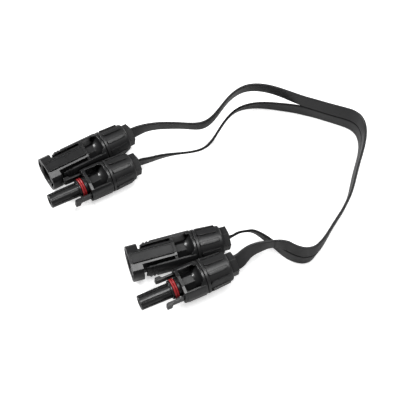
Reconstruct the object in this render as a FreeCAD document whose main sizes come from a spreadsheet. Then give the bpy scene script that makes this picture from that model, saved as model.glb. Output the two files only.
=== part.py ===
import FreeCAD, Part
import math
import os
import Sketcher

# A flat two-strip solar lead lying on the ground plane, Z up. A twin ribbon parts at each end
# into two legs, and every leg ends in a round plug. The shell plugs hold a pin contact, and the
# probe plugs hold a socket contact and two latch fingers.
# Plug pieces are built along +X with the nose at X = 0 and the panels facing +Z and -Z, then
# moved into place. "Front" is the nose end and "back" the cable end. Millimetres and degrees.

V = FreeCAD.Vector
doc = FreeCAD.newDocument("flat_solar_lead")

# ------------------------------------------------------------ driving dimensions
# _from, _to, _start, _end, _front, _back: stations along the plug axis, from the nose
DIMENSIONS = {
    # housings
    "plug_len": 56.0, "ring_dia": 19.3, "ring_len": 6.2, "hub_dia": 18.8, "hub_front": 35.2,
    "hub_back": 36.4, "spigot_dia": 15.4, "spigot_end": 47.0, "panel_half": 2.8,
    "section_top": 7.8, "side_flat": 2.6, "bend_y": 8.3, "bend_z": 5.2,
    "arm_front": 8.1, "arm_inner": 6.85, "arm_edge": 6.3, "arm_top": 6.4, "web_from": 32.2,
    "neck_flats": 9.2, "neck_start": 24.3, "cone_start": 31.0, "cone_dia": 9.2,
    "pocket_from": 25.1, "pocket_to": 28.1, "clip_bore": 7.2, "chamber_dia": 6.8,
    "seal_bore": 12.4, "seal_start": 38.5,
    # shell front
    "block_from": 2.0, "block_half": 4.5, "barrel_dia": 12.9, "barrel_end": 25.7,
    "cavity_dia": 11.6, "cavity_len": 23.0, "channel_in": 6.3, "channel_out": 8.6,
    # probe front, its seal and its latch fingers
    "probe_nose": 0.6, "probe_tip_dia": 8.2, "probe_root_dia": 8.5, "probe_bore": 5.6,
    "probe_mouth": 4.7, "collar_from": 18.2, "collar_dia": 10.5, "plate_front": 23.4,
    "plate_back": 25.0, "groove_dia": 7.7, "groove_half": 1.45, "oring_centre": 20.4,
    "oring_wire": 1.4, "oring_mid_dia": 10.0, "finger_in": 6.5, "finger_out": 7.6,
    "finger_half": 2.7, "finger_tip": 13.0, "finger_root": 23.25, "barb_out": 8.8,
    # contacts
    "contact_dia": 4.0, "pin_tip": 5.6, "socket_mouth": 1.2, "socket_dia": 5.4,
    "socket_depth": 18.0, "neck_dia": 4.0, "waist_from": 24.8, "waist_to": 28.4,
    "shoulder_dia": 4.9, "crimp_dia": 6.2, "crimp_from": 29.8, "crimp_end": 38.0,
    "crimp_slot_from": 33.0,
    # sealing bush and clamp basket
    "seal_dia": 12.2, "seal_from": 39.0, "seal_to": 48.8, "slot_wide": 8.95,
    "slot_thick": 1.5, "basket_dia": 14.4, "basket_from": 47.3, "basket_ring": 49.4,
    "basket_to": 51.2, "basket_in": 12.5, "basket_hole": 9.6,
    # gland nut
    "nut_from": 36.8, "nut_dia": 17.5, "nut_rear_dia": 16.4, "nut_collar_dia": 19.0,
    "rib_out_dia": 19.3, "rib_rear_dia": 18.0, "rib_wide": 1.8, "rib_from": 38.8,
    "rib_to": 49.6, "nut_bore": 15.6, "nut_cavity": 14.9, "nut_shoulder": 52.0,
    "hex_from": 51.8, "hex_flats": 11.6, "exit_bore": 9.2,
    # strips, and the pose of the plugs and of the whole lead
    "strip_wide": 8.9, "strip_thick": 1.4, "cond_wide": 5.0, "cond_thick": 0.7,
    "cond_gap": 0.03, "lead_len": 26.0, "plug_roll": 12.0,
    "shift_x": -1.98, "shift_y": 0.111, "shift_z": 0.268,
}


class Bound:
    """A driving dimension, or arithmetic on some: a sheet expression and its value."""

    def __init__(self, expression, value):
        self.expression = expression
        self.value = value

    def __add__(self, other):
        return Bound("(%s) + (%s)" % (self.expression, text(other)), self.value + number(other))

    def __mul__(self, other):
        return Bound("(%s) * (%s)" % (self.expression, text(other)), self.value * number(other))

    def __truediv__(self, other):
        return Bound("(%s) / (%s)" % (self.expression, text(other)), self.value / number(other))

    def __neg__(self):
        return self * -1

    def __sub__(self, other):
        return self + -other

    def __rsub__(self, other):
        return -self + other


def number(value):
    return value.value if isinstance(value, Bound) else float(value)


def text(value):
    return value.expression if isinstance(value, Bound) else repr(value)


class size:
    """Holds every driving dimension as an attribute."""


sheet = doc.addObject("Spreadsheet::Sheet", "Sizes")
for row, (alias, value) in enumerate(DIMENSIONS.items(), start=1):
    sheet.set("A%d" % row, alias)
    sheet.set("B%d" % row, str(value))
    sheet.setAlias("B%d" % row, alias)
    setattr(size, alias, Bound("Sizes." + alias, value))
doc.recompute()


# ------------------------------------------------------------ bound objects
X_AXIS = V(1, 0, 0)
UP = V(0, 0, 1)
ALONG_X = FreeCAD.Rotation(V(0, 1, 0), 90)
CROSS_SECTION = FreeCAD.Rotation(V(0, 1, 0), V(0, 0, 1), X_AXIS, "XYZ")  # sketch x, y to Y, Z


def bind(item, prop, value):
    setattr(item, prop, number(value))
    if isinstance(value, Bound):
        item.setExpression(prop, value.expression)


def locate(item, x=0, y=0, z=0, rotation=None):
    base = V(number(x), number(y), number(z))
    item.Placement = FreeCAD.Placement(base, rotation or FreeCAD.Rotation())
    for axis, value in (("x", x), ("y", y), ("z", z)):
        if isinstance(value, Bound):
            item.setExpression("Placement.Base." + axis, value.expression)


def rod(radius, start, stop):
    """Cylinder on the plug axis."""
    item = doc.addObject("Part::Cylinder", "rod")
    bind(item, "Radius", radius)
    bind(item, "Height", stop - start)
    locate(item, start, rotation=ALONG_X)
    return item


def cone(start_radius, stop_radius, start, stop):
    item = doc.addObject("Part::Cone", "cone")
    bind(item, "Radius1", start_radius)
    bind(item, "Radius2", stop_radius)
    bind(item, "Height", stop - start)
    locate(item, start, rotation=ALONG_X)
    return item


def box(x_range, y_range, z_range):
    item = doc.addObject("Part::Box", "box")
    ranges = (x_range, y_range, z_range)
    for prop, (low, high) in zip(("Length", "Width", "Height"), ranges):
        bind(item, prop, high - low)
    locate(item, *[low for low, high in ranges])
    return item


def about(half):
    """Range centred on the axis."""
    return (-half, half)


def sided(near, far, side):
    """Range from near to far, on the positive or the negative side of the axis."""
    return (near, far) if side > 0 else (-far, -near)


def turned_box(length, width, height, x, z, angle):
    """Box centred across Y with its low corner at x and z, turned about the plug axis."""
    item = doc.addObject("Part::Box", "turned_box")
    item.Length, item.Width, item.Height = length, width, height
    turn = FreeCAD.Rotation(X_AXIS, angle)
    item.Placement = FreeCAD.Placement(turn.multVec(V(x, -width / 2, z)), turn)
    return item


def draw(sketch, points):
    """Closed outline whose corners are held by dimensions from the sketch origin."""
    total = len(points)
    corners = [V(number(x), number(y), 0) for x, y in points]
    for i in range(total):
        sketch.addGeometry(Part.LineSegment(corners[i], corners[(i + 1) % total]), False)
    for i in range(total):
        sketch.addConstraint(Sketcher.Constraint("Coincident", i, 2, (i + 1) % total, 1))
    for i, point in enumerate(points):
        for axis, kind, value in zip("xy", ("DistanceX", "DistanceY"), point):
            index = sketch.addConstraint(
                Sketcher.Constraint(kind, -1, 1, i, 1, number(value)))
            if isinstance(value, Bound):
                name = "p%s%d" % (axis, i)
                sketch.renameConstraint(index, name)
                sketch.setExpression("Constraints." + name, value.expression)
    return sketch


def free_sketch(points, x=0, rotation=None):
    sketch = doc.addObject("Sketcher::SketchObject", "outline")
    locate(sketch, x, rotation=rotation)
    return draw(sketch, points)


def body_sketch(body, role="XY_Plane"):
    """Empty sketch on an origin plane of a body."""
    sketch = body.newObject("Sketcher::SketchObject", "outline")
    plane = [feature for feature in body.Origin.OriginFeatures if feature.Role == role][0]
    sketch.AttachmentSupport = [(plane, "")]
    sketch.MapMode = "FlatFace"
    return sketch


def extrude(profile, direction, length, symmetric=False):
    item = doc.addObject("Part::Extrusion", "extrusion")
    item.Base = profile
    item.DirMode = "Custom"
    item.Dir = direction
    item.Solid = True
    item.Symmetric = symmetric
    bind(item, "LengthFwd", length)
    return item


def prism(points, start, stop):
    """Cross-section in Y and Z carried along the plug axis."""
    return extrude(free_sketch(points, start, CROSS_SECTION), X_AXIS, stop - start)


def slab(points, half):
    """Outline in X and Y, carried from -half to +half in Z."""
    return extrude(free_sketch(points), UP, half * 2, symmetric=True)


def spin(points):
    """Outline of stations and radii turned about the plug axis."""
    item = doc.addObject("Part::Revolution", "turned")
    item.Source = free_sketch(points)
    item.Axis = X_AXIS
    item.Base = V(0, 0, 0)
    item.Angle = 360
    item.Solid = True
    return item


def octagon(flats, start, stop):
    """Eight-sided prism on the plug axis with a flat on top."""
    polygon = doc.addObject("Part::RegularPolygon", "octagon")
    polygon.Polygon = 8
    bind(polygon, "Circumradius", flats * (0.5 / math.cos(math.pi / 8)))
    locate(polygon, start, rotation=FreeCAD.Rotation(X_AXIS, 22.5) * ALONG_X)
    return extrude(polygon, X_AXIS, stop - start)


def fuse(*parts):
    item = doc.addObject("Part::MultiFuse", "join")
    item.Shapes = list(parts)
    return item


def common(*parts):
    item = doc.addObject("Part::MultiCommon", "overlap")
    item.Shapes = list(parts)
    return item


def cut(base, *tools):
    item = doc.addObject("Part::Cut", "cut")
    item.Base = base
    item.Tool = tools[0] if len(tools) == 1 else fuse(*tools)
    return item


pieces = []


def finish(item, label, placement):
    """Give a finished plug piece its name and its place in the lead."""
    item.Label = label
    item.Placement = placement
    pieces.append(item)


def add_solid(label, shape):
    item = doc.addObject("Part::Feature", label)
    item.Shape = shape.Solids[0]
    item.Label = label
    pieces.append(item)


# ------------------------------------------------------------ plug poses
SHIFT = V(size.shift_x.value, size.shift_y.value, size.shift_z.value)


def unit(vector):
    return vector * (1 / vector.Length)


def lean_frame(tangent, lean):
    """Width and thickness directions of a strip; positive lean is to the left of travel."""
    left = unit(UP.cross(tangent))
    upright = tangent.cross(left)
    angle = math.radians(lean)
    width = upright * math.cos(angle) + left * math.sin(angle)
    return width, tangent.cross(width)


class Plug:
    """Axis of a plug, and the placements of its housing pieces and its strip-aligned pieces."""

    def __init__(self, name, nose_point, tail, lean):
        self.name = name
        self.tail = V(*tail)
        self.lean = lean
        self.axis = unit(self.tail - V(*nose_point))
        nose = self.tail - self.axis * size.plug_len.value + SHIFT

        side = unit(UP.cross(self.axis))
        top = self.axis.cross(side)
        roll = math.radians(size.plug_roll.value)
        panel = top * math.cos(roll) - side * math.sin(roll)
        turn = FreeCAD.Rotation(self.axis, panel.cross(self.axis), panel, "XYZ")
        self.place = FreeCAD.Placement(nose, turn)

        self.strip_axes = lean_frame(self.axis, lean)
        turn = FreeCAD.Rotation(self.axis, *self.strip_axes, "XYZ")
        self.strip_place = FreeCAD.Placement(nose, turn)


# name, a point on the axis toward the nose, centre of the tail face, lean of the strip there
plugs = {row[0]: Plug(*row) for row in (
    ("shell1", (-88.85, 10.91, 9.40), (-41.25, 41.51, 9.40), 2.3),
    ("probe1", (-84.10, -7.88, 9.65), (-36.30, 19.12, 9.65), -15.6),
    ("shell2", (-38.80, -50.10, 9.65), (15.10, -32.68, 9.65), -26.5),
    ("probe2", (-32.27, -74.72, 10.48), (18.46, -51.26, 12.98), 36.0),
)}

# ------------------------------------------------------------ routing of the strips
# twin ribbon: x, y, z of the groove between the strips, lean of the upper and the lower strip
TWIN_KNOTS = [
    (62.900, 64.060, 8.630, -0.230, -7.080),
    (69.658, 61.339, 8.560, 0.960, -10.415),
    (78.734, 57.566, 8.553, 2.864, -10.688),
    (87.250, 54.150, 8.617, 4.386, -7.990),
    (92.500, 50.850, 8.688, 6.534, -3.078),
    (95.500, 45.200, 8.691, 6.810, 2.650),
    (95.600, 35.700, 8.655, 6.917, 5.898),
    (93.400, 25.900, 8.612, 7.189, 8.255),
    (90.222, 14.922, 8.602, 5.243, 8.689),
    (86.893, 2.833, 8.625, 3.748, 7.594),
    (83.117, -6.449, 8.645, 9.379, 6.545),
    (77.942, -16.599, 8.556, 11.059, 10.569),
    (71.879, -27.392, 8.483, 8.090, 12.987),
    (66.013, -37.851, 8.377, 3.980, 15.857),
    (59.660, -43.820, 8.516, 1.052, 11.931),
    (54.467, -43.866, 8.607, 0.168, 8.502),
    (47.565, -40.327, 8.669, -0.472, 4.927),
]
# legs from the plug to the twin ribbon: x, y, z of the strip's centre, lean
SHELL1_KNOTS = [
    (-33.137, 45.736, 9.684, -9.248), (-20.056, 47.788, 9.899, -15.643),
    (-8.293, 47.176, 10.221, -18.740), (1.398, 47.444, 10.551, -13.876),
    (9.414, 54.928, 10.965, -11.262), (16.756, 66.480, 11.500, -14.489),
    (27.875, 75.437, 12.120, -16.393), (38.041, 75.583, 12.520, -12.802),
    (50.575, 70.660, 12.850, -7.737),
]
PROBE1_KNOTS = [
    (-30.650, 21.478, 9.624, -20.586), (-23.660, 24.096, 9.484, -26.997),
    (-15.327, 26.438, 9.192, -35.468), (-6.323, 28.217, 8.757, -38.846),
    (1.848, 31.541, 8.247, -33.890), (8.233, 40.264, 7.540, -21.368),
    (14.771, 53.438, 6.522, -20.828), (23.345, 64.214, 5.614, -26.660),
    (35.405, 68.196, 4.909, -20.312), (49.475, 67.321, 4.382, -13.142),
]
PROBE2_KNOTS = [
    (24.700, -45.700, 12.970, 25.000), (28.700, -42.500, 12.950, 12.000),
    (33.500, -40.500, 12.980, 1.000), (37.900, -39.200, 13.000, -8.186),
]
SHELL2_KNOTS = [
    (20.802, -29.285, 9.349, -31.839), (24.901, -27.700, 8.727, -34.141),
    (28.348, -26.997, 8.065, -29.780), (33.173, -28.687, 6.969, -18.881),
    (40.514, -33.861, 5.140, -10.496),
]
# knots on the plug axis, by distance behind the tail face; the one at zero is the tail face
GLAND_DISTANCES = (-24.0, -16.0, -8.0, 0.0, 1.5)
TAIL_KNOT = GLAND_DISTANCES.index(0.0)
GUIDE = 6.0          # reach of the guiding knot past the end of a leg
TWIN_STEPS = 30      # loft sections along the twin ribbon, less one
LEG_STEP = 3.6       # spacing of loft sections along a leg
LEAD_STEP = 2.0      # and along the length next to the plug
LEAD_LEN = size.lead_len.value


def natural_spline(stations, values):
    """Natural cubic spline; returns a function giving value and slope at a station."""
    total = len(stations)
    gaps = [stations[i + 1] - stations[i] for i in range(total - 1)]
    lower, diagonal, upper, bends = [0.0] * total, [1.0] * total, [0.0] * total, [0.0] * total
    for i in range(1, total - 1):
        lower[i], diagonal[i], upper[i] = gaps[i - 1], 2 * (gaps[i - 1] + gaps[i]), gaps[i]
        bends[i] = 6 * ((values[i + 1] - values[i]) / gaps[i]
                        - (values[i] - values[i - 1]) / gaps[i - 1])
    for i in range(1, total):
        ratio = lower[i] / diagonal[i - 1]
        diagonal[i] -= ratio * upper[i - 1]
        bends[i] -= ratio * bends[i - 1]
    second = [0.0] * total
    second[-1] = bends[-1] / diagonal[-1]
    for i in range(total - 2, -1, -1):
        second[i] = (bends[i] - upper[i] * second[i + 1]) / diagonal[i]

    def at(station):
        i = 0
        while i < total - 2 and station > stations[i + 1]:
            i += 1
        gap, ahead, behind = gaps[i], stations[i + 1] - station, station - stations[i]
        value = ((second[i] * ahead ** 3 + second[i + 1] * behind ** 3) / (6 * gap)
                 + (values[i] / gap - second[i] * gap / 6) * ahead
                 + (values[i + 1] / gap - second[i + 1] * gap / 6) * behind)
        slope = ((second[i + 1] * behind ** 2 - second[i] * ahead ** 2) / (2 * gap)
                 + (values[i + 1] - values[i]) / gap
                 - (second[i + 1] - second[i]) * gap / 6)
        return value, slope

    return at


class Track:
    """Smooth line through knots of x, y, z and leans; stations add up the knot spacing."""

    def __init__(self, knots):
        self.stations = [0.0]
        for knot, following in zip(knots, knots[1:]):
            spacing = (V(*following[:3]) - V(*knot[:3])).Length
            self.stations.append(self.stations[-1] + spacing)
        self.columns = [natural_spline(self.stations, column) for column in zip(*knots)]

    def at(self, station):
        (x, dx), (y, dy), (z, dz), *leans = [column(station) for column in self.columns]
        return V(x, y, z), unit(V(dx, dy, dz)), [lean for lean, slope in leans]


# A strip frame is its centre, its width direction and its thickness direction.
HALF_WIDE = size.strip_wide.value / 2
HALF_THICK = size.strip_thick.value / 2
EDGE_THICK = 0.3                # half thickness of a strip at its edges and at the groove
FLAT_HALF = HALF_WIDE - 0.42    # half width of the flat faces, inside the bevels
CROTCH = 0.12                   # trimmed off a leg's inner edge where it meets the ribbon
SLEEVE_START = -16.5            # jacket and conductor starts, from the tail face
CONDUCTOR_START = -22.6

twin = Track(TWIN_KNOTS)


def twin_station(station):
    groove, tangent, (upper_lean, lower_lean) = twin.at(station)
    upper_axes = lean_frame(tangent, upper_lean)
    lower_axes = lean_frame(tangent, lower_lean)
    return {
        "groove": groove, "tangent": tangent,
        "upper": (groove + upper_axes[0] * HALF_WIDE, *upper_axes),
        "lower": (groove - lower_axes[0] * HALF_WIDE, *lower_axes),
    }


twin_stations = [twin_station(twin.stations[-1] * i / TWIN_STEPS)
                 for i in range(TWIN_STEPS + 1)]


class Leg:
    """Strip from inside a plug to one end of the twin ribbon: end 0 is its start, -1 its finish."""

    def __init__(self, plug, knots, strip, end):
        self.plug = plug
        self.strip = strip
        sign = 1 if end == 0 else -1    # a leg at the finish runs against the ribbon
        station = twin_stations[end]
        centre, width, normal = station[strip]
        self.twin_frame = (centre, width, normal * sign)
        twin_lean = TWIN_KNOTS[end][3 if strip == "upper" else 4] * sign
        gland = [(*(plug.tail + plug.axis * distance), plug.lean)
                 for distance in GLAND_DISTANCES]
        guide = centre + station["tangent"] * (GUIDE * sign)
        self.track = Track(gland + knots + [(*centre, twin_lean), (*guide, twin_lean)])
        self.tail_station = self.track.stations[TAIL_KNOT]
        self.length = self.track.stations[-2] - self.tail_station

    def frame(self, distance):
        """Strip frame at a distance behind the tail face; straight inside the plug."""
        if distance <= 0.0:
            return (self.plug.tail + self.plug.axis * distance, *self.plug.strip_axes)
        centre, tangent, (lean,) = self.track.at(self.tail_station + distance)
        return (centre, *lean_frame(tangent, lean))

    def frames(self, start, stop, step):
        count = max(2, int(round((stop - start) / step)))
        return [self.frame(start + (stop - start) * i / count) for i in range(count + 1)]


legs = [
    Leg(plugs["shell1"], SHELL1_KNOTS, "upper", 0),
    Leg(plugs["probe1"], PROBE1_KNOTS, "lower", 0),
    Leg(plugs["probe2"], PROBE2_KNOTS, "upper", -1),
    Leg(plugs["shell2"], SHELL2_KNOTS, "lower", -1),
]


# ------------------------------------------------------------ cable
def ring(points):
    return Part.makePolygon([point + SHIFT for point in points] + [points[0] + SHIFT])


def corners(frame, offsets):
    """Points offset from a frame's centre across its width and through its thickness."""
    centre, width, normal = frame
    return [centre + width * across + normal * through for across, through in offsets]


def strip_ring(frame, trim_low=0.0, trim_high=0.0):
    """Flat strip with bevelled edges, optionally a little narrower on one edge."""
    low, high = trim_low - HALF_WIDE, HALF_WIDE - trim_high
    return ring(corners(frame, [
        (low, EDGE_THICK), (-FLAT_HALF, HALF_THICK), (FLAT_HALF, HALF_THICK),
        (high, EDGE_THICK), (high, -EDGE_THICK), (FLAT_HALF, -HALF_THICK),
        (-FLAT_HALF, -HALF_THICK), (low, -EDGE_THICK),
    ]))


def twin_ring(station):
    """Both strips joined along the groove."""
    groove, upper, lower = station["groove"], station["upper"], station["lower"]
    groove_edge = unit(upper[2] + lower[2]) * EDGE_THICK
    return ring(
        corners(lower, [(-HALF_WIDE, EDGE_THICK), (-FLAT_HALF, HALF_THICK),
                        (FLAT_HALF, HALF_THICK)])
        + [groove + groove_edge]
        + corners(upper, [(-FLAT_HALF, HALF_THICK), (FLAT_HALF, HALF_THICK),
                          (HALF_WIDE, EDGE_THICK), (HALF_WIDE, -EDGE_THICK),
                          (FLAT_HALF, -HALF_THICK), (-FLAT_HALF, -HALF_THICK)])
        + [groove - groove_edge]
        + corners(lower, [(FLAT_HALF, -HALF_THICK), (-FLAT_HALF, -HALF_THICK),
                          (-HALF_WIDE, -EDGE_THICK)]))


def core_ring(frame, gap=0.0):
    """Rectangle of the flat conductor, grown by a gap for its bore."""
    wide = size.cond_wide.value / 2 + gap
    thick = size.cond_thick.value / 2 + gap
    return ring(corners(frame, [(-wide, thick), (wide, thick), (wide, -thick), (-wide, -thick)]))


def bore_ring(frame):
    return core_ring(frame, size.cond_gap.value)


def loft(rings):
    solid = Part.makeLoft(rings, True, False)
    if solid.Volume < 0:
        solid.reverse()
    return solid


def loft_along(frames, make_ring):
    return loft([make_ring(frame) for frame in frames])


def build_cable():
    """Twin ribbon with its four legs as one jacket, and a conductor in each strip."""
    leg_jackets = []
    strands = {"upper": [], "lower": []}
    for leg in legs:
        frames = leg.frames(LEAD_LEN, leg.length, LEG_STEP)[:-1] + [leg.twin_frame]
        trim = {"trim_low" if leg.strip == "upper" else "trim_high": CROTCH}
        rings = [strip_ring(frame) for frame in frames[:-1]] + [strip_ring(frames[-1], **trim)]
        leg_jackets.append(loft(rings).cut(loft_along(frames, bore_ring)))
        strands[leg.strip].append(loft_along(frames, core_ring))

    ribbon = loft_along(twin_stations, twin_ring)
    conductors = {}
    for strip in ("upper", "lower"):
        frames = [station[strip] for station in twin_stations]
        ribbon = ribbon.cut(loft_along(frames, bore_ring))
        conductors[strip] = loft_along(frames, core_ring).fuse(strands[strip])
    add_solid("twin_jacket", ribbon.fuse(leg_jackets))
    for strip, conductor in conductors.items():
        add_solid("conductor_" + strip, conductor)


def straight_and_bent(leg, start, make_ring):
    """Straight length inside the plug, and the bent length behind it."""
    return (loft_along([leg.frame(start), leg.frame(0.0)], make_ring),
            loft_along(leg.frames(0.0, LEAD_LEN, LEAD_STEP), make_ring))


def build_lead(leg):
    """Jacket and conductor of the length next to a plug."""
    outers = straight_and_bent(leg, SLEEVE_START, strip_ring)
    bores = straight_and_bent(leg, SLEEVE_START, bore_ring)
    straight, bent = [outer.cut(bore) for outer, bore in zip(outers, bores)]
    add_solid("lead_jacket_" + leg.plug.name, straight.fuse(bent))
    straight, bent = straight_and_bent(leg, CONDUCTOR_START, core_ring)
    add_solid("lead_conductor_" + leg.plug.name, straight.fuse(bent))


# ------------------------------------------------------------ housings
SIDES = (1, -1)
OUTSIDE = 9.0    # reach of tools past the panels


def mirrored(points, across, up):
    return [(y * across, z * up) for y, z in points]


# Y, Z corners of one quarter of the front section, from the panel edge to the side flat
FRONT_QUARTER = [
    (size.panel_half, size.section_top), (size.panel_half, size.section_top - 0.45),
    (size.panel_half + 0.4, size.section_top - 0.5), (7.0, 6.5),
    (size.bend_y, size.bend_z), (size.ring_dia / 2, size.side_flat),
]
FRONT_SECTION = (FRONT_QUARTER + mirrored(FRONT_QUARTER[::-1], 1, -1)
                 + mirrored(FRONT_QUARTER, -1, -1) + mirrored(FRONT_QUARTER[::-1], -1, 1))

# side walls of the shell, stepped: amount thinned, start, stop
SHELL_WALL_STEPS = [
    (0.9, size.arm_front, 9.9), (0.5, 9.3, 15.5),
    (0.1, 9.8, 10.5), (0.05, 11.7, 12.4), (0.0, 13.7, 15.5),
]


def arm_outline(side, thin=0.0):
    """Cross-section of a side wall; thin is taken off its outer faces."""
    top = size.arm_top - thin
    upper = [
        (size.arm_edge, top), (7.1 - 0.4 * thin, top),
        (size.bend_y - 0.8 * thin, size.bend_z - 0.6 * thin),
        (size.hub_dia / 2 - thin, size.side_flat),
    ]
    inner = [(size.arm_inner, -3.0), (size.arm_inner, 3.0)]
    return mirrored(upper + mirrored(upper[::-1], 1, -1) + inner, side, 1)


def arms(front, back):
    """Two curved side walls that run back to the hub, and the webs that widen into its rim."""
    parts = [prism(arm_outline(side), front, back) for side in SIDES]
    web_back = size.hub_front + 0.3
    for side in SIDES:
        wall = cut(rod(size.hub_dia / 2, size.web_from, web_back),
                   rod(size.hub_dia / 2 - 1.0, size.web_from - 0.2, web_back + 0.2))
        wedge = slab([(size.web_from, 6.9 * side), (web_back, 4.2 * side),
                      (web_back, 9.6 * side), (size.web_from, 9.6 * side)], 9.6)
        parts.append(common(wall, wedge))
    return parts


def rear_half():
    """Octagonal neck, flared cone, hub rim and the spigot that carries the gland nut."""
    cone_radius, hub_radius = size.cone_dia / 2, size.hub_dia / 2
    spigot_radius = size.spigot_dia / 2
    return [
        octagon(size.neck_flats, size.neck_start, size.cone_start + 1.2),
        spin([
            (size.cone_start, 0.0), (size.cone_start, cone_radius),
            (size.cone_start + 1.5, cone_radius + 0.7),
            (size.cone_start + 2.8, cone_radius + 1.9),
            (size.hub_front - 0.4, cone_radius + 3.4), (size.hub_front - 0.2, hub_radius - 0.3),
            (size.hub_front + 0.1, hub_radius), (size.hub_back, hub_radius),
            (size.hub_back, spigot_radius), (size.spigot_end - 0.5, spigot_radius),
            (size.spigot_end, spigot_radius - 0.5), (size.spigot_end, 0.0),
        ]),
    ]


def rear_bore():
    """Contact chamber with its locking pocket, and the seat of the sealing bush."""
    return [
        rod(size.shoulder_dia / 2 + 0.1, size.cavity_len - 1.0, size.pocket_from + 0.1),
        rod(size.clip_bore / 2, size.pocket_from, size.pocket_to),
        rod(size.chamber_dia / 2, size.pocket_to - 0.1, size.seal_start + 0.2),
        rod(size.seal_bore / 2, size.seal_start, size.spigot_end + 1.0),
    ]


def panel_recesses():
    """Shallow panels on the +Z and -Z faces, with a groove along each long edge."""
    along = (1.2, 24.3)
    panels = [box(along, about(size.panel_half - 0.4),
                  sided(size.section_top - 0.35, OUTSIDE, face)) for face in SIDES]
    grooves = [box(along, sided(size.panel_half + 0.02, size.panel_half + 0.55, side),
                   sided(6.75, OUTSIDE, face)) for face in SIDES for side in SIDES]
    return panels + grooves


def shell_housing(plug):
    barrel_range = (size.block_from, size.barrel_end)
    front = prism(FRONT_SECTION, 0.0, size.ring_len)
    block = common(prism(FRONT_SECTION, *barrel_range),
                   box(barrel_range, about(size.block_half), about(OUTSIDE)))
    barrel = rod(size.barrel_dia / 2, *barrel_range)
    walls = [prism(arm_outline(side, thin), start, stop)
             for side in SIDES for thin, start, stop in SHELL_WALL_STEPS]
    walls += arms(15.3, size.hub_front + 0.3)
    bridge = box((24.2, size.barrel_end), about(7.0), about(6.2))
    body = fuse(front, block, barrel, *walls, bridge, *rear_half())

    bore = rod(size.cavity_dia / 2, -1.0, size.cavity_len)
    mouth = cone(size.cavity_dia / 2 + 0.7, size.cavity_dia / 2, 0.0, 0.9)
    channels = [box((-1.0, size.ring_len + 1.0),
                    sided(size.channel_in, size.channel_out, side),
                    about(size.finger_half + 0.15)) for side in SIDES]
    tools = [bore, mouth] + channels + panel_recesses() + rear_bore()
    finish(cut(body, *tools), plug.name + "_housing", plug.place)


def probe_housing(plug):
    tip_radius, collar_radius = size.probe_tip_dia / 2, size.collar_dia / 2
    groove_radius = size.groove_dia / 2
    groove_front = size.oring_centre - size.groove_half
    groove_back = size.oring_centre + size.groove_half
    tube_back = size.plate_front + 0.2
    tube = spin([
        (size.probe_nose, 0.0), (size.probe_nose, tip_radius - 0.3),
        (size.probe_nose + 0.3, tip_radius), (size.collar_from, size.probe_root_dia / 2),
        (size.collar_from, collar_radius), (groove_front, collar_radius),
        (groove_front, groove_radius), (groove_back, groove_radius),
        (groove_back, collar_radius), (tube_back, collar_radius), (tube_back, 0.0),
    ])
    plate = common(
        prism(FRONT_SECTION, size.plate_front, size.plate_back),
        rod(size.hub_dia / 2 + 0.15, size.plate_front - 1.0, size.plate_back + 1.0))
    walls = arms(size.plate_back - 0.2, size.hub_front + 0.3)
    body = fuse(tube, plate, *walls, *rear_half())

    flutes = [turned_box(length=16.2, width=0.9, height=1.0, x=1.4,
                         z=tip_radius.value - 0.34, angle=22.5 + 45.0 * i) for i in range(8)]
    tools = [rod(size.probe_mouth / 2, -1.0, size.socket_mouth),
             rod(size.probe_bore / 2, size.socket_mouth - 0.1, 24.0)]
    finish(cut(body, *tools, *flutes, *rear_bore()), plug.name + "_housing", plug.place)


# ------------------------------------------------------------ pieces on the probe
def latch_finger(plug, label, side):
    """Barbed finger on the +Y or the -Y side."""
    tip, root = size.finger_tip, size.finger_root
    inner, outer, barb = size.finger_in, size.finger_out, size.barb_out
    outline = [
        (tip, inner + 0.35), (tip, barb - 0.3), (tip + 0.3, barb), (tip + 2.8, barb),
        (tip + 3.9, outer), (root, outer), (root, inner), (tip + 1.2, inner),
    ]
    finger = slab([(x, y * side) for x, y in outline], size.finger_half)
    finish(finger, plug.name + "_latch_" + label, plug.place)


def o_ring(plug):
    """Seal with two lips and a flat inner band that beds in its groove."""
    centre = size.oring_centre
    lips = []
    for offset in (-0.6, 0.6):
        lip = doc.addObject("Part::Torus", "lip")
        bind(lip, "Radius1", size.oring_mid_dia / 2)
        bind(lip, "Radius2", size.oring_wire / 2)
        locate(lip, centre + offset, rotation=ALONG_X)
        lips.append(lip)
    band = cut(rod(size.oring_mid_dia / 2 + 0.35, centre - 1.15, centre + 1.15),
               rod(size.groove_dia / 2 + 0.04, centre - 2.0, centre + 2.0))
    finish(fuse(band, *lips), plug.name + "_o_ring", plug.place)


# ------------------------------------------------------------ contacts
CONTACT_BACK = size.cavity_len + 0.1    # tip and sleeve overlap the shoulder by 0.1


def contact_rear():
    """Shoulder, waist for the retaining clip, and the crimp barrel."""
    return [
        rod(size.shoulder_dia / 2, size.cavity_len, size.waist_from + 0.2),
        rod(size.neck_dia / 2 - 0.05, size.waist_from, size.waist_to),
        rod(size.crimp_dia / 2 - 0.3, size.waist_to - 0.1, size.crimp_from + 0.2),
        rod(size.crimp_dia / 2, size.crimp_from, size.crimp_end),
    ]


def crimp_slot():
    return box((size.crimp_slot_from, size.crimp_end + 1.0),
               about(size.cond_wide / 2 + size.cond_gap),
               about(size.cond_thick / 2 + size.cond_gap))


def pin_contact(plug):
    radius = size.contact_dia / 2
    tip = spin([
        (size.pin_tip, 0.0), (size.pin_tip, radius - 1.1), (size.pin_tip + 0.5, radius - 0.45),
        (size.pin_tip + 1.4, radius), (CONTACT_BACK, radius), (CONTACT_BACK, 0.0),
    ])
    contact = cut(fuse(tip, *contact_rear()), crimp_slot())
    finish(contact, plug.name + "_pin_contact", plug.strip_place)


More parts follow.
